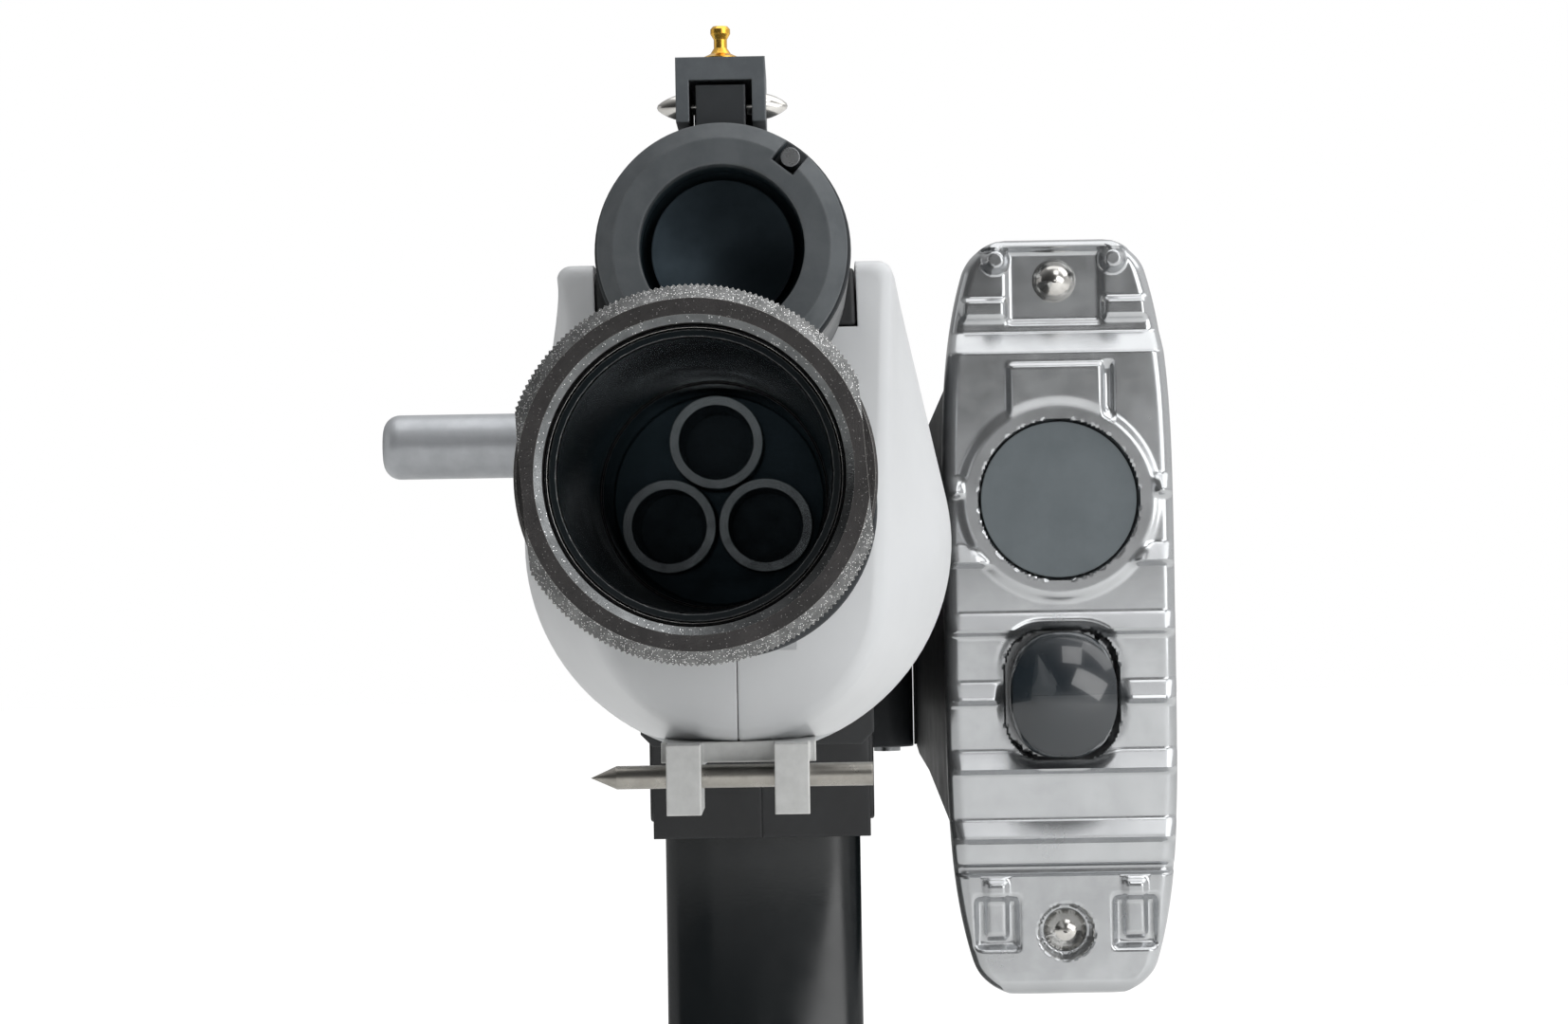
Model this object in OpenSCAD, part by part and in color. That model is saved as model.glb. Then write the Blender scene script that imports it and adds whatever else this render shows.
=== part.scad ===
// Display replica of a folding-stock toy pellet gun, seen from its muzzle. It has no firing parts.
// X runs to the gun's left, Y runs back from the barrel's tip, Z is up. The bore axis is X = 0, Z = 0.

/* [Barrel] */
// Diameter of the front bore
bore_d = 20.4; // [18:0.1:21]
// Outer diameter of the thin ring at the barrel's tip
barrel_tip_d = 21.4; // [21.2:0.1:22]
// Outer diameter of the thread that carries the collar
thread_d = 24; // [23.6:0.1:24.6]
// Outer diameter of the barrel behind the collar
barrel_d = 25; // [24.8:0.1:26]
// Length of the barrel
barrel_len = 400; // [390:1:420]
// Length of the wide front bore
bore_len = 70; // [40:1:78]
// Diameter of the narrower bore behind it, which carries the tube holder
bore_rear_d = 20; // [17.8:0.1:20.2]
// Depth of the whole bore, which ends blind
bore_depth = 106; // [100:1:120]

/* [Collar] */
// Outer diameter of the knurled ring
collar_d = 28; // [27.4:0.1:29]
// Diameter of the collar's front hole
collar_hole_d = 22.8; // [22:0.1:23.2]
// Distance across the two flats
flats_across = 25.2; // [24.6:0.1:26.4]
// Length of the knurled ring with the flats
knurl_len = 5; // [3:0.5:8]
// Whole length of the collar
collar_len = 20; // [14:1:24]
// Distance from the collar's front face back to the barrel's tip
collar_lead = 2; // [1:0.5:3]
// Turn of the flats about the bore axis
flats_turn = 4.6; // [0:0.1:45]

/* [Pellet tubes] */
// Outer diameter of one tube
tube_d = 8.6; // [8:0.1:8.8]
// Inner diameter of one tube
tube_bore_d = 6.9; // [5:0.1:7.2]
// Distance between two tube axes
tube_pitch = 8.9; // [8.8:0.05:9.2]
// Distance from the barrel's tip to the tubes' front ends
tube_setback = 81; // [60:1:88]

/* [Front block and plug] */
// Height of the plug's axis above the bore axis
plug_rise = 26.8; // [26.6:0.1:28]
// Outer diameter of the plug's rim
plug_d = 26; // [24:0.1:26.4]
// Diameter of the plug's front hollow
plug_bore_d = 17.1; // [14:0.1:18]
// Outer diameter of the block's upper barrel
upper_tube_d = 26.8; // [26.4:0.1:28]
// Outer diameter of the band around the barrel
band_d = 31.4; // [31:0.1:36]
// Place of the block's front face
block_y = 132; // [120:1:136]
// Angle of the detent pin round the plug, from the X axis
detent_angle = 52; // [30:1:60]

/* [Front sight] */
// Width of the saddle over the rib
saddle_w = 9.4; // [8.6:0.1:11]
// Wall of the saddle's sides
saddle_wall = 1.4; // [1:0.1:1.6]
// Height of the saddle's top above the bore axis
saddle_top = 47.3; // [45.5:0.1:48]
// Length of the saddle
saddle_len = 21; // [16:1:26]
// Width of the rib under the saddle
rib_w = 5.2; // [4:0.1:5.4]
// Widest diameter of the bead
bead_d = 3.9; // [3:0.1:4.5]

/* [Fore-end] */
// Place of the fore-end's front face
fore_y = 181; // [181:1:190]
// Radius of its round underside
fore_r = 26; // [25:0.1:28]
// Drop of the underside's centre below the bore axis
fore_drop = 2.8; // [2:0.1:4]
// Height of the two ears above the bore axis
ear_top = 29.4; // [29:0.1:31]
// Half width of the fore-end at its ears
ear_x = 20.3; // [20:0.1:21.5]
// Thickness of its wall
fore_wall = 5; // [3.5:0.1:5]
// Length of the flared nose
nose_len = 26; // [16:1:40]
// Width of the black upper cover
cover_w = 30; // [28:0.5:30]
// Height of the upper cover's underside
cover_low = 21.9; // [21:0.1:23]
// Height of the upper cover's shoulders
cover_top = 28.5; // [28:0.1:29]
// Radius of the upper cover's round back
cover_r = 14.4; // [13.6:0.1:14.8]

/* [Sling loop] */
// Diameter of the cross rod
rod_d = 2.7; // [2:0.1:3]
// Length of the cross rod
rod_len = 31; // [26:1:36]
// Distance between the two ears
sling_pitch = 12.4; // [10:0.1:14]
// Width of each ear
sling_ear_w = 4; // [3:0.1:5]
// Height of the cross rod's axis
rod_z = -30; // [-31:0.1:-29.5]

/* [Receiver] */
// Width of the receiver
recv_w = 37.8; // [37.4:0.1:38.4]
// Thickness of the receiver shells
recv_wall = 2.5; // [2:0.1:3]
// How far the barrel reaches into the receiver
barrel_in = 24; // [22:0.5:26]
// Length of the shells behind the grip's axis
recv_back = 39; // [36:1:48]
// Height of the shells' top edge
recv_top = 20; // [19.8:0.1:20.4]
// Height of the top cover's flat back
roof_top = 37; // [34:0.5:40]
// Radius of the top cover's long edges
roof_r = 8; // [5:0.5:8]
// Height of the receiver's underside
recv_low = -36; // [-38:0.5:-35]

/* [Charging lever] */
// Diameter of the handle
lever_d = 11.4; // [9:0.1:12]
// Reach of the handle from the bore axis
lever_reach = 66; // [50:1:75]
// Height of the handle above the bore axis
lever_z = 14; // [12:0.5:14]
// Distance from the receiver's front face to the handle at rest
lever_set = 64; // [62:1:74]
// Travel of the handle
lever_travel = 60; // [30:1:64]

/* [Magazine] */
// Width of the magazine
mag_w = 34.3; // [30:0.1:34.4]
// Depth of the magazine from front to back
mag_depth = 72; // [60:1:72]
// Distance from the receiver's front face to the magazine
mag_set = 56; // [56:0.5:64]
// Height of the magazine's upper end
mag_top = -24; // [-30:0.5:-24]
// Radius of the curve of the magazine's front face
mag_r = 190; // [150:5:260]
// Angle through which the magazine curves forward
mag_curve = 24; // [12:1:30]
// Wall of the magazine's shell
mag_wall = 1.6; // [1:0.1:2.5]

/* [Trigger and grip] */
// Distance from the guard's front to the trigger's pin
trigger_set = 24; // [22:1:27]
// Height of the trigger's pin
trigger_z = -28; // [-29:0.5:-27]
// Height of the trigger's tip
trigger_tip = -62; // [-64:1:-58]
// Height of the trigger guard's underside
guard_low = -70; // [-74:1:-68]
// Lean of the grip
grip_lean = 15; // [10:1:20]
// Length of the grip
grip_len = 96; // [80:1:110]
// Thickness of the grip
grip_w = 28; // [24:1:32]

/* [Stock] */
// Place of the fold axis across the gun
fold_x = 26.2; // [25.8:0.1:28]
// Distance from the shells' rear end to the fold axis
fold_back = 16; // [14:0.5:22]
// Diameter of the fold's pin
fold_pin_d = 6; // [4:0.1:6.4]
// Width of the stock's body
stock_w = 32; // [28:0.5:32]
// Length of the stock from the fold to the butt's face
stock_len = 227; // [190:1:227]
// Wall of the stock's halves
stock_wall = 3; // [2:0.1:4]
// Width of the butt plate
butt_w = 40; // [36:0.5:42]
// Height of the butt plate
butt_h = 131; // [110:1:140]
// Height of the butt plate's centre
butt_z = -14.3; // [-20:0.1:-8]
// Thickness of the butt plate with its ribs
butt_t = 12; // [10:0.5:14]
// Height of one rib over the plate
rib_h = 2; // [1:0.1:3]
// Distance between two ribs
rib_pitch = 12; // [10:0.1:14]
// Diameter of the round disc
disc_d = 27; // [22:0.5:30]
// Width of the domed knob
knob_w = 18; // [14:0.5:19]

/* [Hidden] */
$fn = 64;
fit = 0.05;                 // radial clearance of a pin or shaft in its hole
gap = 0.3;                  // room between pieces that don't turn in each other
cut = 1;                    // how far a cutting shape runs past a face

// Barrel group
collar_front = -collar_lead;
collar_body_d = collar_d - 1;
thread_start = 2;
thread_end = collar_front + collar_len + 2;
holder_y = bore_depth - 14;
tube_ring = tube_pitch / sqrt(3);
tube_plug = 3;

// Front block
block_end = fore_y - 0.4;
plug_y = block_y - 6;
plug_rim = 6;
plug_body_d = 20;
plug_depth = 28;
plug_bevel = 1.7;
detent_d = 2;
detent_ring = (plug_body_d / 2 + fit + upper_tube_d / 2) / 2;
detent_x = detent_ring * cos(detent_angle);
detent_z = plug_rise + detent_ring * sin(detent_angle);
detent_len = 13;
detent_tip = plug_y + 1;
detent_spring_len = 11;
block_pin_d = 2;
block_pin_z = -barrel_d / 2 - 1.55;
saddle_y = block_y + 1;
saddle_roof = 2.4;
rib_top = saddle_top - saddle_roof - 0.5;
sight_screw_y = saddle_y + saddle_len / 2;
sight_screw_z = saddle_top - 4.1;
sight_screw_d = 1.8;
bead_stem_d = 1.6;

// Fore-end
recv_y = barrel_len - barrel_in;
fore_end = recv_y - 0.2;
cover_wall = 3;
cover_inner = cover_r - cover_wall;
nose_r = 17;
nose_drop = 9;
nose_x = 17;
pad_z = -26.2;
pad_len = 22;
pad_w = 18;
fore_screw_z = -21;
fore_screw_in = 44;
fore_screw_back = 36;
fore_screw_ys = [fore_y + fore_screw_in, fore_end - fore_screw_back];
screw_d = 3;
boss_d = 8;
fore_head_x = 12.6;
bracket_x = 5.6;
bracket_y = fore_y + 17;
plate_low = pad_z - 2.4;

// Places along the receiver, from front to back
mag_y = recv_y + mag_set;
mag_end = mag_y + mag_depth;
well_y = mag_y - 4;
well_end = mag_end + 4;
catch_y = well_end + 3.5;
guard_y = catch_y + 9.5;
trigger_y = guard_y + trigger_set;
guard_len = 52.5;
guard_end = guard_y + guard_len;
grip_set = 21.5;
grip_y = guard_end + grip_set;
recv_end = grip_y + recv_back;
lever_y = recv_y + lever_set;

// Receiver
recv_half = recv_w / 2;
room_half = recv_half - recv_wall;
room_top = recv_top - recv_wall;
room_low = recv_low + recv_wall;
roof_half = cover_w / 2 + 1.5;
roof_y = recv_top + 0.2;
trunnion_y = recv_y + recv_wall + 0.2;
trunnion_end = barrel_len + 8;
trunnion_w = 2 * room_half - 0.4;
guide_d = 6;
guide_z = 12;
guide_y = trunnion_end - 5;
tongue_y = recv_end - 30;
guide_end = tongue_y + 6;
carrier_half = 12;
carrier_y = lever_y - carrier_half;
carrier_end = lever_y + carrier_half;
stem_d = 8;
handle_rise = 3.3;
spring_stop = tongue_y;
recv_screws = [[recv_y + 8, -27], [recv_y + 42, -8], [catch_y + 8.5, -8], [recv_end - 12, -29]];
recv_screw_d = 3.2;
recv_edge = 4;
head_d = 6.4;
head_deep = 2;

// Rear sight
sight_y = recv_y + 12;
sight_z = roof_top + 4;
sight_pin_d = 2.4;
leaf_len = 37;
leaf_half = 5.2;

// Magazine and catch
mag_half = mag_w / 2;
bend_z = -56;
bend_steps = 16;
mag_axis_y = mag_y - mag_r;
floor_t = 4;
well_low = -52;
notch_low = -41;
notch_h = 6.5;
catch_z = -47;
catch_pin_d = 3;
catch_w = 10;
catch_tip = -64;
catch_spring_y = catch_y + 2.6;

// Trigger, guard and grip
trigger_w = 7;
trigger_pin_d = 3.6;
tail_z = -16;
tail_spring_len = 14;
tail_front = trigger_y - 3;
guard_w = 10;
guard_t = 3;
guard_bend = 9;
grip_screw_d = 6;
grip_screw_up = 8;
safety_y = grip_y - 5;
safety_z = -8;
safety_d = 8;
safety_arm = 32;

// Stock
fold_y = recv_end + fold_back;
knuckle_d = 12;
flange_y = recv_end + 0.2;
fold_gap = 0.2;
tongue_low = -20;
stock_x = 2 * fold_x;
stock_half = stock_w / 2;
butt_face = fold_y - stock_len;
butt_back = butt_face + butt_t;
stock_front = fold_y - fold_gap;
arm_low = -17.7;
arm_high = 3.7;
fold_low = -45;
fold_high = 18;
butt_half_h = butt_h / 2;
butt_screw_zs = [butt_z + 58.4, butt_z - 54.6];
butt_screw_d = 4;
butt_screw_len = 30;
disc_z = 5.9;
knob_z = -27.9;
knob_travel = 3;
knob_stem_d = 8;
knob_spring_r = 6.4;
stock_neck = 60;
neck_high = 23;
neck_low = -48;
body_high = 36;
body_low = -63;
spine_half = 9;
cheek_gap = 0.7;
stock_screw_in = 45;
stock_screw_back = 40;
stock_screws_at = [[butt_back + stock_screw_in, 20], [butt_back + stock_screw_in, -45],
    [fold_y - stock_screw_back, -10]];

// Latch of the fold
latch_x = 0;
latch_y = recv_end + 8;
latch_d = 8;
latch_travel = 2.5;
latch_pocket = 14;

// A cylinder along Y from y0 to y1 at (x, z)
module rod_y(d, y0, y1, x = 0, z = 0) {
    translate([x, y0, z]) rotate([-90, 0, 0]) cylinder(d = d, h = y1 - y0);
}

// A cylinder along X from x0 to x1 at (y, z)
module rod_x(d, x0, x1, y, z) {
    translate([x0, y, z]) rotate([0, 90, 0]) cylinder(d = d, h = x1 - x0);
}

// A cylinder along Z from z0 to z1 at (x, y)
module rod_z(d, z0, z1, x, y) {
    translate([x, y, z0]) cylinder(d = d, h = z1 - z0);
}

// A turned piece about an axis along Y: profile points are [radius, y]
module turned(profile, x = 0, z = 0) {
    translate([x, 0, z]) rotate([-90, 0, 0]) rotate_extrude() polygon(profile);
}

// A box from its two corners
module block(low, high) {
    translate(low) cube(high - low);
}

// An outline drawn in Y and Z, extruded across X from x0 to x1
module slab_x(x0, x1, outline) {
    translate([x0, 0, 0]) rotate([90, 0, 90]) linear_extrude(height = x1 - x0) polygon(outline);
}

// A coil spring of round wire along +Z
module coil(mean_r, wire_r, length, turns) {
    pitch = length / turns;
    section = [for (a = [0:60:300])
        let (r = mean_r + wire_r * cos(a), t = 360 * wire_r * sin(a) / pitch) [r * cos(t), r * sin(t)]];
    linear_extrude(height = length, twist = -360 * turns, slices = turns * 12, segments = len(section))
        polygon(section);
}

// A domed screw with its head's seat at the origin and its shank along +Z
module screw(shank_d, shank_len, head_d, head_h) {
    cylinder(d = shank_d, h = shank_len);
    dome_r = (head_d * head_d / 4 + head_h * head_h) / (2 * head_h);
    intersection() {
        translate([0, 0, dome_r - head_h]) sphere(r = dome_r);
        translate([0, 0, -head_h - cut]) cylinder(d = head_d, h = head_h + cut);
    }
}

// Barrel and collar
module muzzle_collar() {
    r = collar_d / 2;
    hole = collar_hole_d / 2;
    color("#2b2b2d") difference() {
        turned([[hole + 0.8, collar_front], [r - 1, collar_front], [r, collar_front + 1],
            [r, collar_front + knurl_len], [collar_body_d / 2, collar_front + knurl_len],
            [collar_body_d / 2, collar_front + collar_len], [thread_d / 2 + fit, collar_front + collar_len],
            [thread_d / 2 + fit, thread_start - fit], [hole, thread_start - fit], [hole, collar_front + 0.8]]);
        for (side = [0, 180]) rotate([0, side - flats_turn, 0])
            translate([flats_across / 2, collar_front - cut, -r]) cube([r, knurl_len + cut, 2 * r]);
    }
}

module outer_barrel() {
    color("#141516") turned([[bore_d / 2, 0], [barrel_tip_d / 2, 0], [barrel_tip_d / 2, thread_start],
        [thread_d / 2, thread_start], [thread_d / 2, thread_end], [barrel_d / 2, thread_end],
        [barrel_d / 2, barrel_len], [0, barrel_len], [0, bore_depth], [bore_rear_d / 2, bore_depth],
        [bore_rear_d / 2, bore_len], [bore_d / 2, bore_len]]);
}

module at_tubes() {
    for (turn = [0:120:240]) translate([-tube_ring * sin(turn), 0, tube_ring * cos(turn)]) children();
}

module pellet_tubes() {
    color("#6f7174") at_tubes() difference() {
        rod_y(tube_d, tube_setback, bore_depth);
        rod_y(tube_bore_d, tube_setback - cut, bore_depth - tube_plug);
    }
}

module tube_holder() {
    color("#101112") difference() {
        rod_y(bore_rear_d - 2 * fit, holder_y, bore_depth);
        at_tubes() rod_y(tube_d + 2 * fit, holder_y - cut, bore_depth + cut);
    }
}

// Front block, plug and sight
module gas_block() {
    color("#1b1c1e") difference() {
        union() {
            rod_y(band_d, block_y, block_end - 10);
            rod_y(upper_tube_d, block_y, block_end, 0, plug_rise);
            block([-9, block_y, 8], [9, block_end - 10, plug_rise]);
            block([-rib_w / 2, saddle_y + 0.5, plug_rise], [rib_w / 2, saddle_y + saddle_len - 0.5, rib_top]);
        }
        rod_y(barrel_d + 2 * fit, block_y - cut, block_end + cut);
        rod_y(plug_body_d + 2 * fit, block_y - cut, plug_y + plug_depth + gap, 0, plug_rise);
        rod_y(detent_d + 2 * fit, block_y - cut, detent_tip + detent_len + detent_spring_len,
              detent_x, detent_z);
        for (y = [block_y + 8, block_end - 18]) rod_x(block_pin_d + 2 * fit, -band_d, band_d, y, block_pin_z);
        rod_x(sight_screw_d + 2 * fit, -rib_w, rib_w, sight_screw_y, sight_screw_z);
    }
}

module gas_block_pins() {
    half = 7;
    color("#8b8e91") for (y = [block_y + 8, block_end - 18]) rod_x(block_pin_d, -half, half, y, block_pin_z);
}

module gas_plug() {
    r = plug_d / 2;
    bore = plug_bore_d / 2;
    color("#3a3c3f") difference() {
        turned([[bore, plug_y], [r - plug_bevel, plug_y], [r, plug_y + plug_bevel],
            [r, plug_y + plug_rim], [plug_body_d / 2, plug_y + plug_rim],
            [plug_body_d / 2, plug_y + plug_depth],
            [0, plug_y + plug_depth], [0, plug_y + plug_depth - 5], [bore - 1, plug_y + plug_depth - 10],
            [bore - 1, plug_y + 9], [bore, plug_y + 8]], 0, plug_rise);
        translate([0, 0, plug_rise]) rotate([0, -detent_angle, 0])
            block([detent_ring - 1.4, plug_y - cut, -1.4], [r + cut, plug_y + plug_rim + cut, 1.4]);
    }
}

module plug_detent() {
    color("#8b8e91") rod_y(detent_d, detent_tip, detent_tip + detent_len, detent_x, detent_z);
}

module detent_spring() {
    color("#a8abae") translate([detent_x, detent_tip + detent_len, detent_z]) rotate([-90, 0, 0])
        coil(0.7, 0.2, detent_spring_len, 8);
}

module sight_saddle() {
    inner = saddle_w / 2 - saddle_wall;
    low = plug_rise + upper_tube_d / 2 + gap;
    color("#232427") difference() {
        block([-saddle_w / 2, saddle_y, low], [saddle_w / 2, saddle_y + saddle_len, saddle_top]);
        block([-inner, saddle_y - cut, low - cut],
              [inner, saddle_y + saddle_len + cut, saddle_top - saddle_roof]);
        rod_x(sight_screw_d + 2 * fit, -saddle_w, saddle_w, sight_screw_y, sight_screw_z);
        rod_z(bead_stem_d + 2 * fit, rib_top, saddle_top + cut, 0, saddle_y + 5);
    }
}

module sight_screws() {
    color("#c9ccce") for (side = [-1, 1])
        translate([side * saddle_w / 2, sight_screw_y, sight_screw_z]) rotate([0, -90 * side, 0])
            screw(sight_screw_d, saddle_w / 2 - 1, 2.7, 2.3);
}

module sight_bead() {
    color("#c9973a") translate([0, saddle_y + 5, saddle_top]) rotate_extrude()
        polygon([[0, 0.1 - saddle_roof], [bead_stem_d / 2, 0.1 - saddle_roof], [bead_stem_d / 2, 0],
            [bead_d / 2, 0], [bead_d / 2, 0.5], [1.1, 0.9], [0.7, 1.5], [0.7, 2.4], [1.05, 3],
            [1.05, 3.5], [0.8, 3.8], [0, 3.9]]);
}

// Fore-end
module fore_body() {
    sides = [[-ear_x, ear_top], [ear_x, ear_top], [fore_r, -fore_drop], [-fore_r, -fore_drop]];
    nose_sides = [[-ear_x + 0.8, ear_top], [ear_x - 0.8, ear_top],
                  [nose_x, -nose_drop], [-nose_x, -nose_drop]];
    translate([0, fore_y + nose_len, 0]) rotate([90, 0, 0]) mirror([0, 0, 1])
        linear_extrude(height = fore_end - fore_y - nose_len) {
            polygon(sides);
            translate([0, -fore_drop]) circle(r = fore_r);
        }
    hull() {
        translate([0, fore_y + nose_len + 0.01, 0]) rotate([90, 0, 0]) linear_extrude(height = 0.01) {
            polygon(sides);
            translate([0, -fore_drop]) circle(r = fore_r);
        }
        translate([0, fore_y + 0.01, 0]) rotate([90, 0, 0]) linear_extrude(height = 0.01) {
            polygon(nose_sides);
            translate([0, -nose_drop]) circle(r = nose_r);
        }
    }
}

// One half of the fore-end: side is 1 for the left half and -1 for the right half
module fore_half(side) {
    slot = cover_w / 2 + 0.2;
    inner = fore_r - fore_wall;
    difference() {
        fore_body();
        block([side > 0 ? -2 * fore_r : 0, fore_y - cut, -2 * fore_r],
            [side > 0 ? 0 : 2 * fore_r, fore_end + cut, 2 * fore_r]);
        block([-slot, fore_y - cut, cover_low - 0.2], [slot, fore_end + cut, ear_top + cut]);
        rod_y(barrel_d + 2 * gap, fore_y - cut, fore_y + 6, 0, 0);
        rod_y(2 * inner, fore_y + 5, fore_end + cut, 0, -fore_drop);
        block([-slot, fore_y + 5, -fore_drop], [slot, fore_end + cut, cover_low]);
        block([-pad_w / 2 - 0.2, fore_y - cut, -2 * fore_r], [pad_w / 2 + 0.2, fore_y + pad_len, pad_z]);
    }
    intersection() {
        fore_body();
        difference() {
            for (y = fore_screw_ys)
                rod_x(boss_d, side > 0 ? 0 : -fore_r, side > 0 ? fore_r : 0, y, fore_screw_z);
            for (y = fore_screw_ys) fore_screw_hole(y);
        }
    }
}

module fore_screw_hole(y) {
    rod_x(screw_d + 2 * fit, -2 * fore_r, 2 * fore_r, y, fore_screw_z);
}

// The two holes for the sling bracket's screws
module bracket_holes() {
    for (x = [-bracket_x, bracket_x]) rod_z(2 * fit + 2.3, 2 * rod_z, rod_z + 10, x, bracket_y);
}

module fore_end_left() {
    color("#d4d6d8") difference() {
        fore_half(1);
        for (y = fore_screw_ys) fore_screw_hole(y);
        for (y = fore_screw_ys) rod_x(head_d, fore_head_x, 2 * fore_r, y, fore_screw_z);
        bracket_holes();
    }
}

module fore_end_right() {
    color("#d4d6d8") difference() {
        fore_half(-1);
        for (y = fore_screw_ys) fore_screw_hole(y);
        bracket_holes();
    }
}

module fore_end_screws() {
    color("#6a6d70") for (y = fore_screw_ys) translate([fore_head_x, y, fore_screw_z]) rotate([0, -90, 0])
        screw(screw_d, 2 * fore_head_x + 0.8, 6, 2);
}

module upper_cover() {
    half = cover_w / 2;
    color("#17181a") difference() {
        union() {
            block([-half, fore_y, cover_low], [half, fore_end, cover_top]);
            rod_y(2 * cover_r, fore_y, fore_end, 0, plug_rise);
        }
        rod_y(2 * cover_inner, fore_y + cover_wall, fore_end - cover_wall, 0, plug_rise);
        block([-half - cut, fore_y - cut, 0], [half + cut, fore_end + cut, cover_low]);
    }
}

// Sling loop under the fore-end's nose
module sling_bracket() {
    ear = sling_ear_w / 2;
    color("#9c9890") difference() {
        union() {
            block([-pad_w / 2, fore_y + 1, plate_low], [pad_w / 2, fore_y + pad_len - 0.4, pad_z]);
            for (x = [-sling_pitch / 2, sling_pitch / 2])
                block([x - ear, fore_y - 7, rod_z - 4.3], [x + ear, fore_y + 9, pad_z]);
        }
        rod_x(rod_d + 2 * fit, -rod_len, rod_len, fore_y - 3, rod_z);
        bracket_holes();
    }
}

module bracket_screws() {
    color("#8b8e91") for (x = [-bracket_x, bracket_x]) translate([x, bracket_y, plate_low])
        screw(2.3, 5, 4.4, 1.2);
}

module sling_rod() {
    half = rod_len / 2;
    color("#a39c90") translate([0, fore_y - 3, rod_z]) rotate([0, 90, 0]) rotate_extrude()
        polygon([[0, -half - 1.5], [rod_d / 2, 1.5 - half], [rod_d / 2, half], [0, half]]);
}

// Receiver
module trunnion() {
    half = trunnion_w / 2;
    color("#4a4c4f") difference() {
        block([-half, trunnion_y, -17], [half, trunnion_end, room_top - 0.3]);
        rod_y(barrel_d + 2 * fit, trunnion_y - cut, barrel_len + fit);
        rod_y(guide_d + 2 * fit, guide_y, trunnion_end + cut, 0, guide_z);
    }
}

// One receiver shell: side is 1 for the left shell and -1 for the right shell
module shell(side) {
    far = side > 0 ? 0 : -recv_half;
    outline = [[recv_y, recv_low + 2], [recv_y, recv_top], [recv_end, recv_top], [recv_end, recv_low],
        [well_end, recv_low], [well_end, well_low], [well_y, well_low], [well_y, recv_low + 2]];
    difference() {
        slab_x(far, far + recv_half, outline);
        difference() {
            block([-room_half, recv_y + recv_wall, room_low], [room_half, recv_end + cut, room_top]);
            for (at = recv_screws) rod_x(boss_d, -recv_w, recv_w, at[0], at[1]);
            block([-7, grip_y - 7, room_low - cut], [7, grip_y + 7, room_low + 9.5]);
            block([-6, tail_front - tail_spring_len - 4, room_low],
                  [6, tail_front - tail_spring_len, tail_z + 6]);
        }
        block([-room_half, recv_y + recv_wall, 0], [room_half, recv_end + cut, recv_top + cut]);
        block([-mag_half - 0.25, mag_y - gap, well_low - cut],
              [mag_half + 0.25, mag_end + gap, mag_top + gap]);
        block([-catch_w / 2 - 0.6, mag_end - cut, notch_low - 1],
              [catch_w / 2 + 0.6, catch_y + 9, room_low + cut]);
        block([-trigger_w / 2 - 0.6, trigger_y - 9, recv_low - cut],
            [trigger_w / 2 + 0.6, trigger_y + 12, room_low + cut]);
        rod_y(barrel_d + 2 * gap, recv_y - cut, recv_y + 5);
        rod_x(trigger_pin_d + 2 * fit, -recv_w, recv_w, trigger_y, trigger_z);
        for (at = recv_screws) rod_x(recv_screw_d + 2 * fit, -recv_w, recv_w, at[0], at[1]);
        translate([0, grip_y, recv_low]) rotate([grip_lean, 0, 0])
            translate([0, 0, -10]) cylinder(d = grip_screw_d + 2 * fit, h = 30);
        // Bevel under the front, behind the fore-end's round belly
        translate([side * recv_half, 0, recv_low]) rotate([0, 45, 0])
            block([-recv_edge / sqrt(2), recv_y - cut, -recv_edge / sqrt(2)],
                  [recv_edge / sqrt(2), well_y, recv_edge / sqrt(2)]);
    }
    // Ears that carry the magazine catch
    difference() {
        block([side > 0 ? catch_w / 2 + 0.3 : -catch_w / 2 - 3.3, well_end, well_low - 1],
            [side > 0 ? catch_w / 2 + 3.3 : -catch_w / 2 - 0.3, well_end + 8, recv_low]);
        rod_x(catch_pin_d + 2 * fit, -recv_w, recv_w, catch_y, catch_z);
    }
}

module receiver_left() {
    color("#1c1d1f") difference() {
        shell(1);
        for (at = recv_screws) rod_x(head_d, recv_half - head_deep, recv_w, at[0], at[1]);
    }
}

module receiver_right() {
    slot = stem_d / 2 + gap;
    color("#1c1d1f") difference() {
        shell(-1);
        block([-recv_w, lever_y - slot, lever_z - slot],
            [-recv_half / 2, lever_y + lever_travel + slot, lever_z + slot]);
        rod_x(safety_d + 2 * fit, -recv_w, -recv_half / 2, safety_y, safety_z);
    }
}

module receiver_screws() {
    color("#5b5e61") for (at = recv_screws) translate([recv_half - head_deep, at[0], at[1]])
        rotate([0, -90, 0]) screw(recv_screw_d, recv_w - 2 * head_deep, 6, 1.8);
}

// A body along Y with two round upper edges: half is its half width and r the radius of its edges
module vault(y0, y1, low, high, half, r) {
    block([-half, y0, low], [half, y1, high - r]);
    block([r - half, y0, low], [half - r, y1, high]);
    for (x = [r - half, half - r]) rod_y(2 * r, y0, y1, x, high - r);
}

module top_cover() {
    wall = recv_wall;
    color("#1a1b1d") difference() {
        vault(recv_y, recv_end, roof_y, roof_top, roof_half, roof_r);
        vault(recv_y + wall, recv_end - wall, roof_y - cut, roof_top - wall, roof_half - wall, roof_r - wall);
    }
}

module rear_sight_base() {
    color("#26282a") difference() {
        union() {
            block([-8, sight_y - 6, roof_top], [8, sight_y + leaf_len + 1, roof_top + 1.5]);
            for (side = [-1, 1]) translate([side * 6.75, 0, 0])
                block([-1.25, sight_y - 6, roof_top], [1.25, sight_y + 6, roof_top + 6.5]);
        }
        rod_x(sight_pin_d + 2 * fit, -10, 10, sight_y, sight_z);
    }
}

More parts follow.
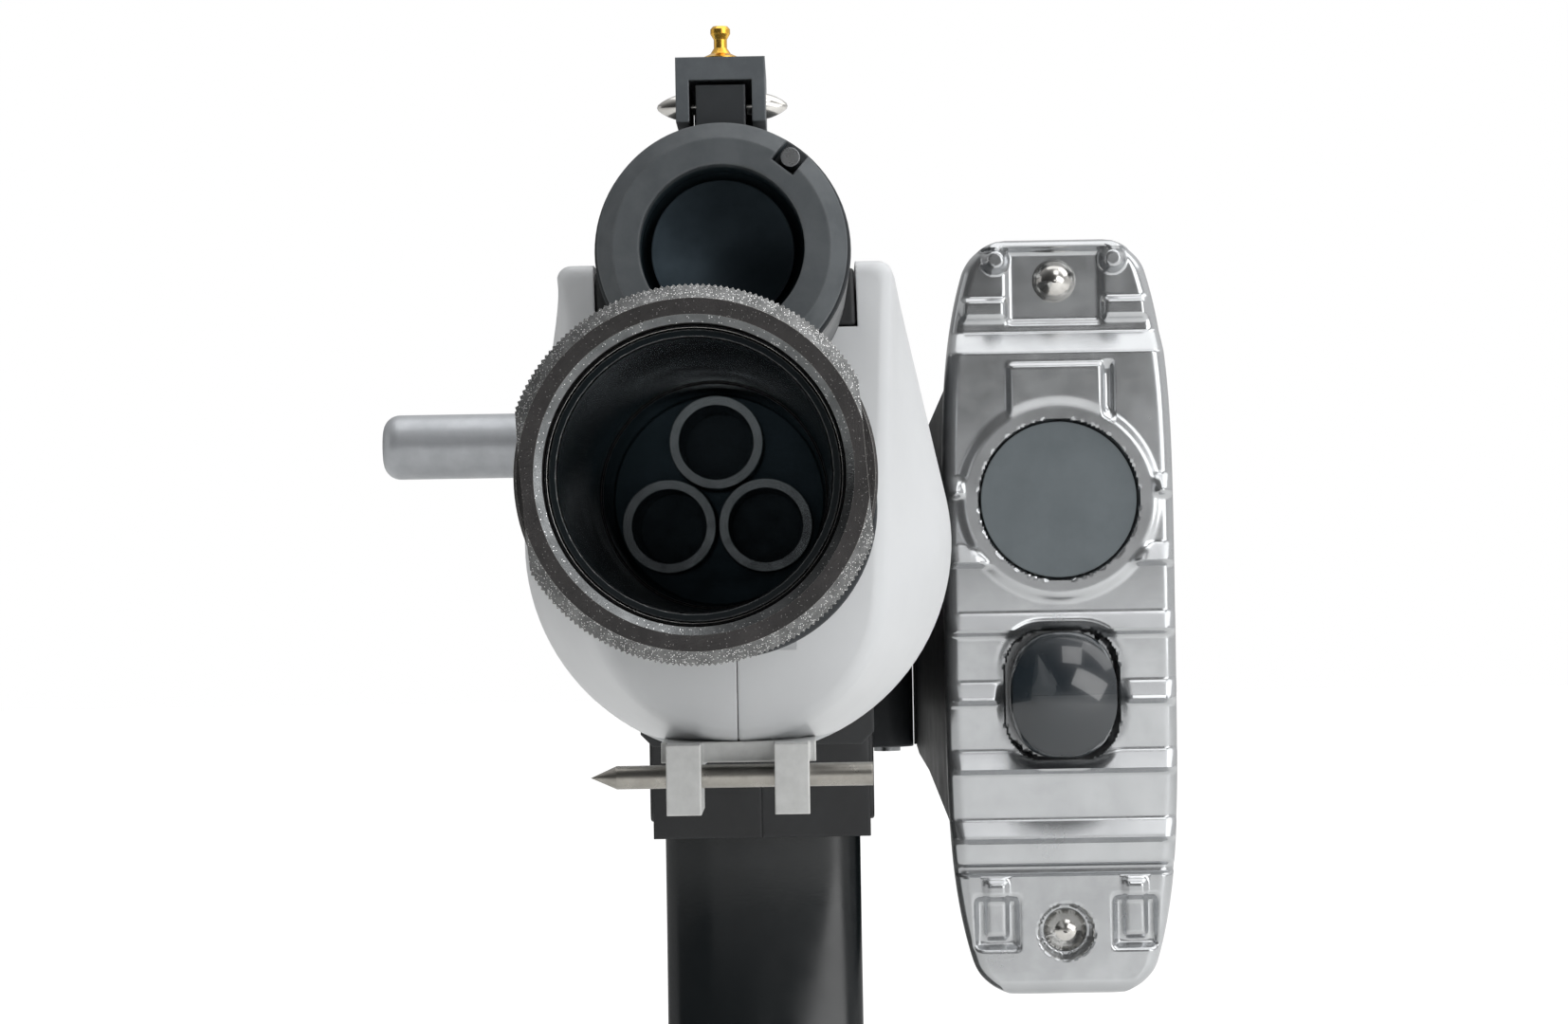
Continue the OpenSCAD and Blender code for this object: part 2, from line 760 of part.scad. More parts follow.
module rear_sight_leaf() {
    z = sight_z;
    back = sight_y + leaf_len;
    color("#1d1e20") difference() {
        union() {
            rod_x(4.4, -leaf_half, leaf_half, sight_y, z);
            block([-leaf_half, sight_y, z - 2.2], [leaf_half, back, z + 0.8]);
            block([-7, back - 3, z - 2.2], [7, back, z + 8]);
        }
        rod_x(sight_pin_d + 2 * fit, -10, 10, sight_y, z);
        block([-1.2, back - 3 - cut, z + 4], [1.2, back + cut, z + 8 + cut]);
    }
}

module rear_sight_pin() {
    color("#8b8e91") rod_x(sight_pin_d, -8, 8, sight_y, sight_z);
}

// Charging lever
module lever_carrier() {
    color("#55585b") difference() {
        block([0.6 - room_half, carrier_y, guide_z - 6], [8, carrier_end, room_top + 1.5]);
        rod_y(guide_d + 2 * fit, carrier_y - cut, carrier_end + cut, 0, guide_z);
        rod_x(stem_d + 2 * fit, -room_half, -8.6, lever_y, lever_z);
    }
}

module charging_lever() {
    color("#7d8083") {
        rod_x(stem_d, -recv_half - 3, -8.7, lever_y, lever_z);
        translate([-recv_half - 2, lever_y, lever_z + handle_rise]) rotate([0, -90, 0]) rotate_extrude()
            polygon(concat([[0, 0], [lever_d / 2 - 1.5, 0], [lever_d / 2, 1.5]],
                [for (a = [0:10:90]) [lever_d / 2 - 3 + 3 * cos(a),
                                      lever_reach - recv_half - 5 + 3 * sin(a)]],
                [[0, lever_reach - recv_half - 2]]));
    }
}

module spring_guide() {
    color("#9da0a3") rod_y(guide_d, guide_y + 0.1, guide_end - 0.1, 0, guide_z);
}

module return_spring() {
    color("#a8abae") translate([0, carrier_end, guide_z]) rotate([-90, 0, 0])
        coil(4.3, 0.6, spring_stop - carrier_end, 14);
}

// Magazine
// A point on the magazine's curve, at radius r and turned down by a degrees
function bend_point(r, a) = [mag_axis_y + r * cos(a), bend_z - r * sin(a)];

// The magazine's body, straight at its top and curved forward below, drawn in from its walls
module magazine_body(top, turn, front, back, side) {
    inner = mag_r + front;
    outer = mag_r + mag_depth - back;
    slab_x(side - mag_half, mag_half - side, concat(
        [[mag_axis_y + inner, top]], [for (i = [0:bend_steps]) bend_point(inner, turn * i / bend_steps)],
        [for (i = [bend_steps:-1:0]) bend_point(outer, turn * i / bend_steps)], [[mag_axis_y + outer, top]]));
}

// Puts a piece at the magazine's foot, with Y from the curve's axis and Z up from the foot's cut face
module at_foot() {
    translate([0, mag_axis_y, bend_z]) rotate([-mag_curve, 0, 0]) children();
}

module magazine_shell() {
    color("#1e2022") difference() {
        magazine_body(mag_top, mag_curve, 0, 0, 0);
        magazine_body(mag_top - 3, mag_curve + 1, mag_wall, 4.5, mag_wall);
        block([-catch_w / 2 - 0.6, mag_end - 3, notch_low],
              [catch_w / 2 + 0.6, mag_end + cut, notch_low + notch_h]);
    }
}

module magazine_floor() {
    color("#151617") at_foot() {
        block([-mag_half - 1, mag_r - 1, -floor_t], [mag_half + 1, mag_r + mag_depth + 1, 0]);
        block([mag_wall + 0.2 - mag_half, mag_r + mag_wall + 0.4, -cut],
            [mag_half - mag_wall - 0.2, mag_r + mag_depth - 4.9, 4]);
    }
}

module magazine_catch() {
    color("#2a2c2e") difference() {
        slab_x(-catch_w / 2, catch_w / 2,
               [[mag_end + 0.15, -37.3], [mag_end + 0.15, -39], [catch_y - 2.4, -40.4],
            [catch_y - 2.4, -49.5], [catch_y - 1.8, -51.5], [catch_y - 1.6, catch_tip],
            [catch_y + 1.8, catch_tip],
            [catch_y + 2.6, -50], [catch_y + 2.6, -37.3]]);
        rod_x(catch_pin_d + 2 * fit, -catch_w, catch_w, catch_y, catch_z);
    }
}

module catch_pin() {
    color("#8b8e91") rod_x(catch_pin_d, -catch_w / 2 - 3.3, catch_w / 2 + 3.3, catch_y, catch_z);
}

module catch_spring() {
    color("#a8abae") translate([0, catch_spring_y, -41]) rotate([-90, 0, 0])
        coil(1.9, 0.35, guard_y - catch_spring_y, 5);
}

// Trigger, guard and grip
module trigger() {
    y = trigger_y;
    z = trigger_z;
    color("#2e3033") difference() {
        union() {
            slab_x(-trigger_w / 2, trigger_w / 2, [[y - 3, tail_z + 4], [y - 3, z - 4], [y - 4.6, z - 14],
                [y - 4.2, z - 22], [y - 1.4, z - 29], [y + 1.6, trigger_tip], [y + 3.8, trigger_tip],
                [y + 2.2, z - 27], [y, z - 20], [y + 0.6, z - 12], [y + 4.5, z - 4], [y + 4, z + 4],
                [y + 1, tail_z + 4]]);
            rod_x(9, -trigger_w / 2, trigger_w / 2, y, z);
        }
        rod_x(trigger_pin_d + 2 * fit, -trigger_w, trigger_w, y, z);
    }
}

module trigger_pin() {
    color("#8b8e91") rod_x(trigger_pin_d, -recv_half, recv_half, trigger_y, trigger_z);
}

module trigger_spring() {
    color("#a8abae") translate([0, tail_front - tail_spring_len, tail_z]) rotate([-90, 0, 0])
        coil(2.6, 0.45, tail_spring_len, 6);
}

// Side outline of the guard's strap, moved in by a thickness and open at a height
function guard_line(inset, top) =
    let (r = guard_bend - inset)
    concat([[guard_y + inset, top]],
           [for (a = [180:15:270]) [guard_y + guard_bend + r * cos(a), guard_low + guard_bend + r * sin(a)]],
           [for (a = [270:15:360]) [guard_end - guard_bend + r * cos(a), guard_low + guard_bend + r * sin(a)]],
           [[guard_end - inset, top]]);

module trigger_guard() {
    half = guard_w / 2;
    color("#232527") difference() {
        slab_x(-half, half, guard_line(0, recv_low));
        slab_x(-half - cut, half + cut, guard_line(guard_t, recv_low + cut));
    }
}

module grip() {
    r = grip_w / 2;
    color("#242628") difference() {
        translate([0, grip_y, recv_low]) rotate([grip_lean, 0, 0]) difference() {
            hull() for (y = [-7, 9]) {
                translate([0, y, -grip_len]) cylinder(r = r, h = 1, $fn = 32);
                translate([0, y, 0]) cylinder(r = r - 1.5, h = 8, $fn = 32);
            }
            translate([0, 0, -grip_len - cut]) cylinder(d = grip_screw_d + 2 * fit, h = 2 * grip_len);
            translate([0, 0, -grip_len - cut]) cylinder(d = 12, h = 7);
        }
        block([-grip_w, grip_y - grip_len, recv_low], [grip_w, grip_y + grip_len, recv_low + grip_len]);
        block([-grip_w, grip_y - grip_len, guard_low - 20], [grip_w, guard_end, recv_low + 1]);
    }
}

module grip_screw() {
    color("#8b8e91") translate([0, grip_y, recv_low]) rotate([grip_lean, 0, 0])
        translate([0, 0, 6 - grip_len]) screw(grip_screw_d, grip_len - 6 + grip_screw_up, 11, 3);
}

module safety_lever() {
    x = -recv_half - gap;
    color("#2c2e31") {
        rod_x(safety_d, x, gap - room_half, safety_y, safety_z);
        rod_x(12, gap - room_half, gap - room_half + 2, safety_y, safety_z);
        rod_x(14, x - 3, x, safety_y, safety_z);
        block([x - 3, safety_y - safety_arm, safety_z - 3.5], [x, safety_y, safety_z + 3.5]);
        block([x - 7, safety_y - safety_arm, safety_z - 3.5], [x, safety_y + 5 - safety_arm, safety_z + 3.5]);
    }
}

// Fold of the stock
module hinge_block() {
    color("#191a1c") difference() {
        union() {
            block([-recv_half, flange_y, recv_low], [recv_half, fold_y - fold_gap, cover_top]);
            block([gap - room_half, tongue_y, tongue_low], [room_half - gap, flange_y + cut, room_top - 0.3]);
            for (span = [[fold_low, arm_low - gap], [arm_high + gap, fold_high]]) {
                rod_z(knuckle_d, span[0], span[1], fold_x, fold_y);
                block([recv_half - cut, fold_y - knuckle_d / 2, span[0]], [fold_x, fold_y - fold_gap, span[1]]);
            }
        }
        rod_z(fold_pin_d + 2 * fit, fold_low - cut, fold_high + cut, fold_x, fold_y);
        rod_y(guide_d + 2 * fit, tongue_y - cut, guide_end, 0, guide_z);
        rod_z(latch_d + 2 * fit, cover_top - latch_pocket, cover_top + cut, latch_x, latch_y);
    }
}

module hinge_pin() {
    color("#8b8e91") rod_z(fold_pin_d, fold_low - 1, fold_high + 1, fold_x, fold_y);
}

module latch_button() {
    color("#4b4e52") {
        rod_z(latch_d, cover_top - 6, cover_top + latch_travel, latch_x, latch_y);
    }
}

module latch_spring() {
    color("#a8abae") translate([latch_x, latch_y, cover_top - latch_pocket]) coil(3, 0.5, latch_pocket - 6, 5);
}

// The stock's side outlines in Y and Z: the full-width body, and the narrower spine behind the butt plate
stock_body = [[stock_front, fold_low], [stock_front, fold_high], [fold_y - stock_neck, neck_high],
    [butt_back, body_high], [butt_back, body_low], [fold_y - stock_neck, neck_low]];
stock_spine = [[fold_y - stock_neck - 10, neck_high + 1], [fold_y - 2 * stock_neck, body_high + 5],
    [butt_back, body_high + 14], [butt_back, body_low - 13], [fold_y - 2.5 * stock_neck, body_low - 3],
    [fold_y - stock_neck - 10, neck_low + 2]];

module stock_solid() {
    slab_x(stock_x - stock_half, stock_x + stock_half, stock_body);
    slab_x(stock_x - spine_half, stock_x + spine_half, stock_spine);
}

// One half of the stock: side is -1 for the half next to the receiver and 1 for the outer half
module stock_half_shell(side) {
    w = stock_wall;
    left = stock_x - stock_w;
    right = stock_x + stock_w;
    difference() {
        stock_solid();
        block([side > 0 ? left : stock_x, butt_face, -butt_h], [side > 0 ? stock_x : right, fold_y, butt_h]);
        difference() {
            slab_x(stock_x - stock_half + w, stock_x + stock_half - w,
                [[stock_front - w, fold_low + w], [stock_front - w, fold_high - w],
                    [fold_y - stock_neck, neck_high - w], [butt_back + w, body_high - w],
                    [butt_back + w, body_low + w], [fold_y - stock_neck, neck_low + w]]);
            for (at = stock_screws_at) rod_x(boss_d, left, right, at[0], at[1]);
        }
        for (at = stock_screws_at) rod_x(screw_d + 2 * fit, left, right, at[0], at[1]);
        for (z = butt_screw_zs)
            rod_y(butt_screw_d + 2 * fit, butt_back - cut, butt_back + butt_screw_len, stock_x, z);
        rod_y(knob_stem_d + 8, butt_back - cut, butt_back + 14, stock_x, knob_z);
    }
}

// Wedge on the inner side, which closes most of the gap beside the hinge
module stock_cheek() {
    near = fold_x + knuckle_d / 2 + cheek_gap;
    far = stock_x - stock_half + 1;
    intersection() {
        slab_x(near, far, stock_body);
        translate([0, 0, -butt_h]) linear_extrude(height = 2 * butt_h)
            polygon([[far, butt_back + 15], [far, fold_y], [near, fold_y], [near, fold_y - 20]]);
    }
}

module stock_inner() {
    color("#1d1f21") difference() {
        union() {
            stock_half_shell(-1);
            stock_cheek();
            rod_z(knuckle_d, arm_low, arm_high, fold_x, fold_y);
            block([fold_x, fold_y - knuckle_d / 2, arm_low],
                  [stock_x - stock_half + 1, stock_front, arm_high]);
        }
        rod_z(fold_pin_d + 2 * fit, arm_low - cut, arm_high + cut, fold_x, fold_y);
    }
}

module stock_outer() {
    color("#1d1f21") difference() {
        stock_half_shell(1);
        for (at = stock_screws_at)
            rod_x(head_d, stock_x + stock_half - head_deep, stock_x + stock_w, at[0], at[1]);
    }
}

module stock_screws() {
    color("#6a6d70") for (at = stock_screws_at) translate([stock_x + stock_half - head_deep, at[0], at[1]])
        rotate([0, -90, 0]) screw(screw_d, stock_w - 2 * head_deep, 6, 1.8);
}

// Half width of the butt plate at a height given as a share of its half height
function butt_half_w(t) = butt_w / 2 * (1 - 0.5 * pow(t, 4));

module butt_outline(inset) {
    steps = 14;
    rise = butt_half_h - inset;
    half = [for (i = [-steps:steps]) [butt_half_w(i / steps) - inset, rise * i / steps]];
    polygon(concat(half, [for (i = [-steps:steps]) [-butt_half_w(-i / steps) + inset, -rise * i / steps]]));
}

module butt_slab(y0, y1, inset = 0) {
    translate([stock_x, y0, butt_z]) rotate([-90, 0, 0]) mirror([0, 1, 0])
        linear_extrude(height = y1 - y0) butt_outline(inset);
}

// The knob's outline: a slot shape a little higher than it is wide
module knob_shape(y0, y1, w) {
    for (dz = [-1.5, 1.5]) rod_y(w, y0, y1, stock_x, knob_z + dz);
    block([stock_x - w / 2, y0, knob_z - 1.5], [stock_x + w / 2, y1, knob_z + 1.5]);
}

module butt_plate() {
    rib_y = butt_face + rib_h;
    color("#7c7d7e") difference() {
        union() {
            butt_slab(rib_y, butt_back);
            intersection() {
                butt_slab(butt_face, rib_y + cut, 1);
                for (i = [-4:2]) translate([stock_x, butt_face, disc_z + rib_pitch * i])
                    translate([-butt_w, 0, -2]) cube([2 * butt_w, rib_h + cut, 4.4]);
            }
        }
        rod_y(disc_d + 0.6, butt_face - cut, rib_y + 2.2, stock_x, disc_z);
        knob_shape(butt_face - cut, butt_back - 2, knob_w + 2 * gap);
        rod_y(knob_stem_d + 2 * fit, butt_face, butt_back + cut, stock_x, knob_z);
        for (z = butt_screw_zs) {
            rod_y(butt_screw_d + 2 * fit, butt_face - cut, butt_back + cut, stock_x, z);
            rod_y(9, butt_face - cut, rib_y + 4, stock_x, z);
        }
    }
}

module butt_screws() {
    color("#b9bbbd") for (z = butt_screw_zs) translate([stock_x, butt_face + rib_h + 4, z]) rotate([-90, 0, 0])
        screw(butt_screw_d, butt_screw_len - 4, 7.6, 2.6);
}

module butt_disc() {
    color("#3f4448") rod_y(disc_d, butt_face + rib_h + 0.2, butt_face + rib_h + 2.2, stock_x, disc_z);
}

module butt_knob() {
    head_back = butt_face + 4;
    color("#101214") {
        knob_shape(butt_face - 4, head_back, knob_w);
        intersection() {
            knob_shape(butt_face - 7, butt_face, knob_w);
            translate([stock_x, butt_face + 11, knob_z]) sphere(r = 18);
        }
        rod_y(knob_stem_d, head_back - cut, butt_back + 6, stock_x, knob_z);
        rod_y(knob_stem_d + 4, butt_back + gap, butt_back + 3, stock_x, knob_z);
    }
}

module knob_spring() {
    color("#a8abae") translate([stock_x, butt_face + 4, knob_z]) rotate([-90, 0, 0])
        coil(knob_spring_r, 0.5, butt_t - 6, 3);
}

muzzle_collar();
outer_barrel();
pellet_tubes();
tube_holder();
gas_block();
gas_block_pins();
gas_plug();
plug_detent();
detent_spring();
sight_saddle();
sight_screws();
sight_bead();
upper_cover();
fore_end_left();
fore_end_right();
fore_end_screws();
sling_bracket();
bracket_screws();
sling_rod();
trunnion();
receiver_left();
receiver_right();
receiver_screws();
top_cover();
rear_sight_base();
rear_sight_leaf();
rear_sight_pin();
lever_carrier();
charging_lever();
spring_guide();
return_spring();
magazine_shell();
magazine_floor();
magazine_catch();
catch_pin();
catch_spring();
trigger();
trigger_pin();
trigger_spring();
trigger_guard();
grip();
grip_screw();
safety_lever();
hinge_block();
hinge_pin();
stock_inner();
stock_outer();
stock_screws();
butt_plate();
butt_screws();
butt_disc();
butt_knob();
knob_spring();
latch_button();
latch_spring();
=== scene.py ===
# Display replica of a folding-stock toy pellet gun, dressed piece by piece from its muzzle back to its stock.
# Everything is in metres, in the same frame as the solids: X to the gun's left, Y back from the muzzle, Z up.
import math
import bmesh
import bpy
from mathutils import Euler, Matrix, Vector


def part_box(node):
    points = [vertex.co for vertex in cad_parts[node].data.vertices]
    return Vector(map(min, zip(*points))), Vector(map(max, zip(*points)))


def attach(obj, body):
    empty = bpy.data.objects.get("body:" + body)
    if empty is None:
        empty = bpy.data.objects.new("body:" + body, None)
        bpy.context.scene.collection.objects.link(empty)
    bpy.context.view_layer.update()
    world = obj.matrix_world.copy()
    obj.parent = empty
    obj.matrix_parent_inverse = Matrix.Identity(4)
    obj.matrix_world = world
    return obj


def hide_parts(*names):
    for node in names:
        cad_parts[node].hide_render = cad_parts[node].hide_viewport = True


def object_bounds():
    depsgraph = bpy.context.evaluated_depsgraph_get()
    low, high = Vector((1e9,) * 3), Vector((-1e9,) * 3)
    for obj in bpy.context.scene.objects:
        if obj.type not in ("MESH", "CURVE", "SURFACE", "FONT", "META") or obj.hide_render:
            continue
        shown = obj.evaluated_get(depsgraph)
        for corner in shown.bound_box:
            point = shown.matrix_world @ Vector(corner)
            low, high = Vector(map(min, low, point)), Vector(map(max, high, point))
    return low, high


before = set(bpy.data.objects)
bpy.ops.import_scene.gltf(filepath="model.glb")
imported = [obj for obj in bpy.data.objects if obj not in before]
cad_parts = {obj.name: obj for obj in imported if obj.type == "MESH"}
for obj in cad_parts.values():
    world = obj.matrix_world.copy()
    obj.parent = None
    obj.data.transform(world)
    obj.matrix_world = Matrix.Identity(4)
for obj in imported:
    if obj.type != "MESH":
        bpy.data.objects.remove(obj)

cad_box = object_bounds()
scene = bpy.context.scene
MM = 0.001

# ----------------------------------------------------------------------------------------------------------
# Camera: looks straight at the muzzle from about 31 cm, a little low and to the gun's left, with a short
# tele lens. It stands where the bore shows its three tubes and the butt plate stands clear at the side.
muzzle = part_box("outer_barrel")[0].y
camera = bpy.data.objects.new("camera", bpy.data.cameras.new("camera"))
scene.collection.objects.link(camera)
camera.location = (7.82 * MM, muzzle - 310.6 * MM, -8.14 * MM)
look = Euler((math.radians(90.985), 0, math.radians(0.243))).to_matrix()
aim = look @ Matrix.Rotation(math.radians(-0.95), 3, "Z")
camera.rotation_euler = aim.to_euler()
camera.data.lens = 97.4
camera.data.sensor_width = 36
camera.data.clip_start = 0.02
camera.data.clip_end = 30
scene.camera = camera


# ----------------------------------------------------------------------------------------------------------
# Floor and light: a pale table that runs out to white, a white room that is darker on the side of the
# viewer, and six soft boxes, which aren't seen themselves. The camera sees the room as plain white.
def linear(code):
    """An sRGB hex colour as linear RGBA."""
    parts = [int(code[i:i + 2], 16) / 255 for i in (1, 3, 5)]
    return [p / 12.92 if p <= 0.04045 else ((p + 0.055) / 1.055) ** 2.4 for p in parts] + [1]


def add(tree, kind, inputs=None, **settings):
    """Adds a node with its settings. An input is a value, or (node, output name) for a link."""
    made = tree.nodes.new(kind)
    for key, value in settings.items():
        setattr(made, key, value)
    for key, value in (inputs or {}).items():
        if isinstance(value, tuple) and isinstance(value[0], bpy.types.Node):
            tree.links.new(value[0].outputs[value[1]], made.inputs[key])
        else:
            made.inputs[key].default_value = value
    return made


def object_from(bm, name, material, smooth_angle=35):
    """A finished object from a bmesh, in the scene and at the origin, smooth up to an angle in degrees."""
    mesh = bpy.data.meshes.new(name)
    bm.to_mesh(mesh)
    bm.free()
    mesh.materials.append(material)
    mesh.shade_smooth()
    mesh.set_sharp_from_angle(angle=math.radians(smooth_angle))
    made = bpy.data.objects.new(name, mesh)
    scene.collection.objects.link(made)
    return made


# matt white paper: white to the eye, grey in the shadow; in reflections it glows with painted light, brighter
# towards +X (the gun's left)
paper_and_painted_glow = bpy.data.materials.new("paper_and_painted_glow")
paper_and_painted_glow.use_nodes = True
tree = paper_and_painted_glow.node_tree
tree.nodes.clear()
path = add(tree, "ShaderNodeLightPath")
spot = add(tree, "ShaderNodeTexCoord")
across = add(tree, "ShaderNodeSeparateXYZ", {"Vector": (spot, "Object")})
# painted reflection: only glossy rays see the floor glow, from 0.02 to 0.3 across X, brighter towards +X
painted_glow_ramp = add(tree, "ShaderNodeMapRange", {"Value": (across, "X"), "From Min": -0.3, "From Max": 0.4,
           "To Min": 0.02, "To Max": 0.3})
painted_reflection_glow = add(tree, "ShaderNodeMath", {0: (path, "Is Glossy Ray"), 1: (painted_glow_ramp, "Result")}, operation="MULTIPLY")
lift = add(tree, "ShaderNodeMath", {0: (path, "Is Camera Ray"), 1: 0.7, 2: (painted_reflection_glow, "Value")},
           operation="MULTIPLY_ADD")
paper = add(tree, "ShaderNodeBsdfDiffuse", {"Color": linear("#efefee"), "Roughness": 0.5})
glow = add(tree, "ShaderNodeEmission", {"Color": linear("#ffffff"), "Strength": (lift, "Value")})
both = add(tree, "ShaderNodeAddShader", {0: (paper, "BSDF"), 1: (glow, "Emission")})
add(tree, "ShaderNodeOutputMaterial", {"Surface": (both, "Shader")})

table_drop = 64 * MM            # room under the part for its magazine, pulled right out
bm = bmesh.new()
bmesh.ops.create_grid(bm, x_segments=2, y_segments=2, size=8)
bmesh.ops.translate(bm, verts=bm.verts, vec=(0, 0, cad_box[0].z - table_drop))
object_from(bm, "table", paper_and_painted_glow)

world = bpy.data.worlds.new("white_room")
scene.world = world
world.use_nodes = True
tree = world.node_tree
tree.nodes.clear()
facing = add(tree, "ShaderNodeTexCoord")
split = add(tree, "ShaderNodeSeparateXYZ", {"Vector": (facing, "Generated")})
aside = add(tree, "ShaderNodeMath", {0: (split, "X"), 1: 0.2, 2: (split, "Y")}, operation="MULTIPLY_ADD")
depth = add(tree, "ShaderNodeMapRange", {"Value": (aside, "Value"), "From Min": -0.96, "From Max": 0.1,
            "To Min": 0.1, "To Max": 0.74}, interpolation_type="SMOOTHSTEP")
height = add(tree, "ShaderNodeMath", {0: (split, "Z"), 1: 1.2, 2: (split, "X")}, operation="MULTIPLY_ADD")
slant = add(tree, "ShaderNodeMapRange", {"Value": (height, "Value"), "From Min": -1.1, "From Max": 1.5,
            "To Min": 0.12, "To Max": 1.2})
room = add(tree, "ShaderNodeMath", {0: (depth, "Result"), 1: (slant, "Result")}, operation="MULTIPLY")
path = add(tree, "ShaderNodeLightPath")
level = add(tree, "ShaderNodeMix", {"Factor": (path, "Is Camera Ray"), "A": (room, "Value"), "B": 1.0})
sky = add(tree, "ShaderNodeBackground", {"Color": linear("#ffffff"), "Strength": (level, "Result")})
add(tree, "ShaderNodeOutputWorld", {"Surface": (sky, "Background")})


def soft_box(name, place, aim, size, power, level=(1, 0, 0)):
    """A soft box at a place, turned to face a point, its long side along level. It isn't seen itself."""
    lamp = bpy.data.lights.new(name, "AREA")
    lamp.shape = "RECTANGLE"
    lamp.size, lamp.size_y = size
    lamp.energy = power
    made = bpy.data.objects.new(name, lamp)
    made.location = place
    back = (Vector(place) - Vector(aim)).normalized()
    long_side = (Vector(level) - back * Vector(level).dot(back)).normalized()
    made.rotation_euler = Matrix((long_side, back.cross(long_side), back)).transposed().to_euler()
    made.visible_camera = False
    scene.collection.objects.link(made)


soft_box("overhead_box", (0.15, 0.35, 1.2), (0.02, 0.2, 0), (1.4, 1.2), 5.5)
soft_box("right_box", (0.85, 0.05, 0.8), (0.02, 0.15, 0), (0.8, 0.8), 3, (0, 1, 0))
soft_box("left_box", (-1.1, 0.35, 0.2), (0, 0.2, 0), (0.9, 0.6), 0.8, (0, 1, 0))
soft_box("window_box", (0.3, -0.45, 0.85), (0.03, 0.35, -0.03), (0.45, 0.45), 1.5)
soft_box("side_card", (0.62, -0.5, 0.18), (0.01, 0.43, -0.08), (0.75, 0.42), 2.8, (0.92, 0, -0.38))
soft_box("table_bounce", (0.1, -0.6, cad_box[0].z + 0.01), (0.04, 0.43, -0.03), (1.2, 0.4), 0.35)
scene.view_settings.view_transform = "Standard"


# ----------------------------------------------------------------------------------------------------------
# Muzzle collar: a screwed steel ring, turned, straight knurled and bead blasted, then blackened. The
# blasting leaves fine bright grains, and the knurl's tips and the chamfers are rubbed bright.
def finish(name, colour, second, roughness, metallic=0.0, patch=6.0, grain=0.3, relief=0.02, edge=0.25,
           worn=None, wear=0.5, specks=None, speck_size=0.2, speck_part=0.1, coat=0.0, specular=0.5,
           painted_shade_depth=None):
    """A surface finish: two close colours in soft patches, fine grain, rounded edges and, where asked, rubbed
    edges, bright specks and a dark colour past a depth, which is painted shade inside a hole. Patch, grain,
    relief, edge, speck and depth are in millimetres."""
    made = bpy.data.materials.new(name)
    made.use_nodes = True
    tree = made.node_tree
    tree.nodes.clear()
    place = add(tree, "ShaderNodeTexCoord")
    cloud = add(tree, "ShaderNodeTexNoise", {"Vector": (place, "Object"), "Scale": 1 / (patch * MM),
                "Detail": 4, "Roughness": 0.6})
    dust = add(tree, "ShaderNodeTexNoise", {"Vector": (place, "Object"), "Scale": 1 / (grain * MM),
               "Detail": 3, "Roughness": 0.65})
    blend = add(tree, "ShaderNodeMapRange", {"Value": (cloud, "Fac"), "From Min": 0.35, "From Max": 0.65})
    tone = add(tree, "ShaderNodeMix", {"Factor": (blend, "Result"), "A": linear(colour), "B": linear(second)},
               data_type="RGBA")
    tone_out = (tone, "Result")
    rounded = add(tree, "ShaderNodeBevel", {"Radius": edge * MM}, samples=4)
    if specks:
        cells = add(tree, "ShaderNodeTexVoronoi", {"Vector": (place, "Object"),
                    "Scale": 1 / (speck_size * MM)})
        chance = add(tree, "ShaderNodeSeparateColor", {"Color": (cells, "Color")})
        lucky = add(tree, "ShaderNodeMath", {0: (chance, "Red"), 1: 1 - speck_part}, operation="GREATER_THAN")
        near = add(tree, "ShaderNodeMath", {0: (cells, "Distance"), 1: 0.32}, operation="LESS_THAN")
        spot = add(tree, "ShaderNodeMath", {0: (lucky, "Value"), 1: (near, "Value")}, operation="MULTIPLY")
        tone = add(tree, "ShaderNodeMix", {"Factor": (spot, "Value"), "A": tone_out, "B": linear(specks)},
                   data_type="RGBA")
        tone_out = (tone, "Result")
    if worn:
        shape = add(tree, "ShaderNodeNewGeometry")
        turn = add(tree, "ShaderNodeVectorMath", {0: (rounded, "Normal"), 1: (shape, "Normal")},
                   operation="DOT_PRODUCT")
        rub = add(tree, "ShaderNodeMapRange", {"Value": (turn, "Value"), "From Min": 0.995, "From Max": 0.9,
                  "To Min": 0.0, "To Max": wear})
        patchy = add(tree, "ShaderNodeMath", {0: (rub, "Result"), 1: (dust, "Fac")}, operation="MULTIPLY")
        strong = add(tree, "ShaderNodeMath", {0: (patchy, "Value"), 1: 1.8}, operation="MULTIPLY",
                     use_clamp=True)
        tone = add(tree, "ShaderNodeMix", {"Factor": (strong, "Value"), "A": tone_out, "B": linear(worn)},
                   data_type="RGBA")
        tone_out = (tone, "Result")
    # painted shade: past a depth along Y the colour turns dark, standing in for the shade inside a hole
    if painted_shade_depth:
        along = add(tree, "ShaderNodeSeparateXYZ", {"Vector": (place, "Object")})
        painted_shade_mask = add(tree, "ShaderNodeMath", {0: (along, "Y"), 1: painted_shade_depth[0] * MM}, operation="GREATER_THAN")
        tone = add(tree, "ShaderNodeMix", {"Factor": (painted_shade_mask, "Value"), "A": tone_out, "B": linear(painted_shade_depth[1])},
                   data_type="RGBA")
        tone_out = (tone, "Result")
    gloss = add(tree, "ShaderNodeMapRange", {"Value": (cloud, "Fac"), "From Min": 0.3, "From Max": 0.7,
                "To Min": max(roughness - 0.06, 0.04), "To Max": roughness + 0.06})
    skin = add(tree, "ShaderNodeBump", {"Height": (dust, "Fac"), "Normal": (rounded, "Normal"),
               "Strength": 1.0, "Distance": relief * MM})
    surface = add(tree, "ShaderNodeBsdfPrincipled", {"Base Color": tone_out, "Metallic": metallic,
                  "Roughness": (gloss, "Result"), "Normal": (skin, "Normal"), "Coat Weight": coat,
                  "Specular IOR Level": specular})
    add(tree, "ShaderNodeOutputMaterial", {"Surface": (surface, "BSDF")})
    return made


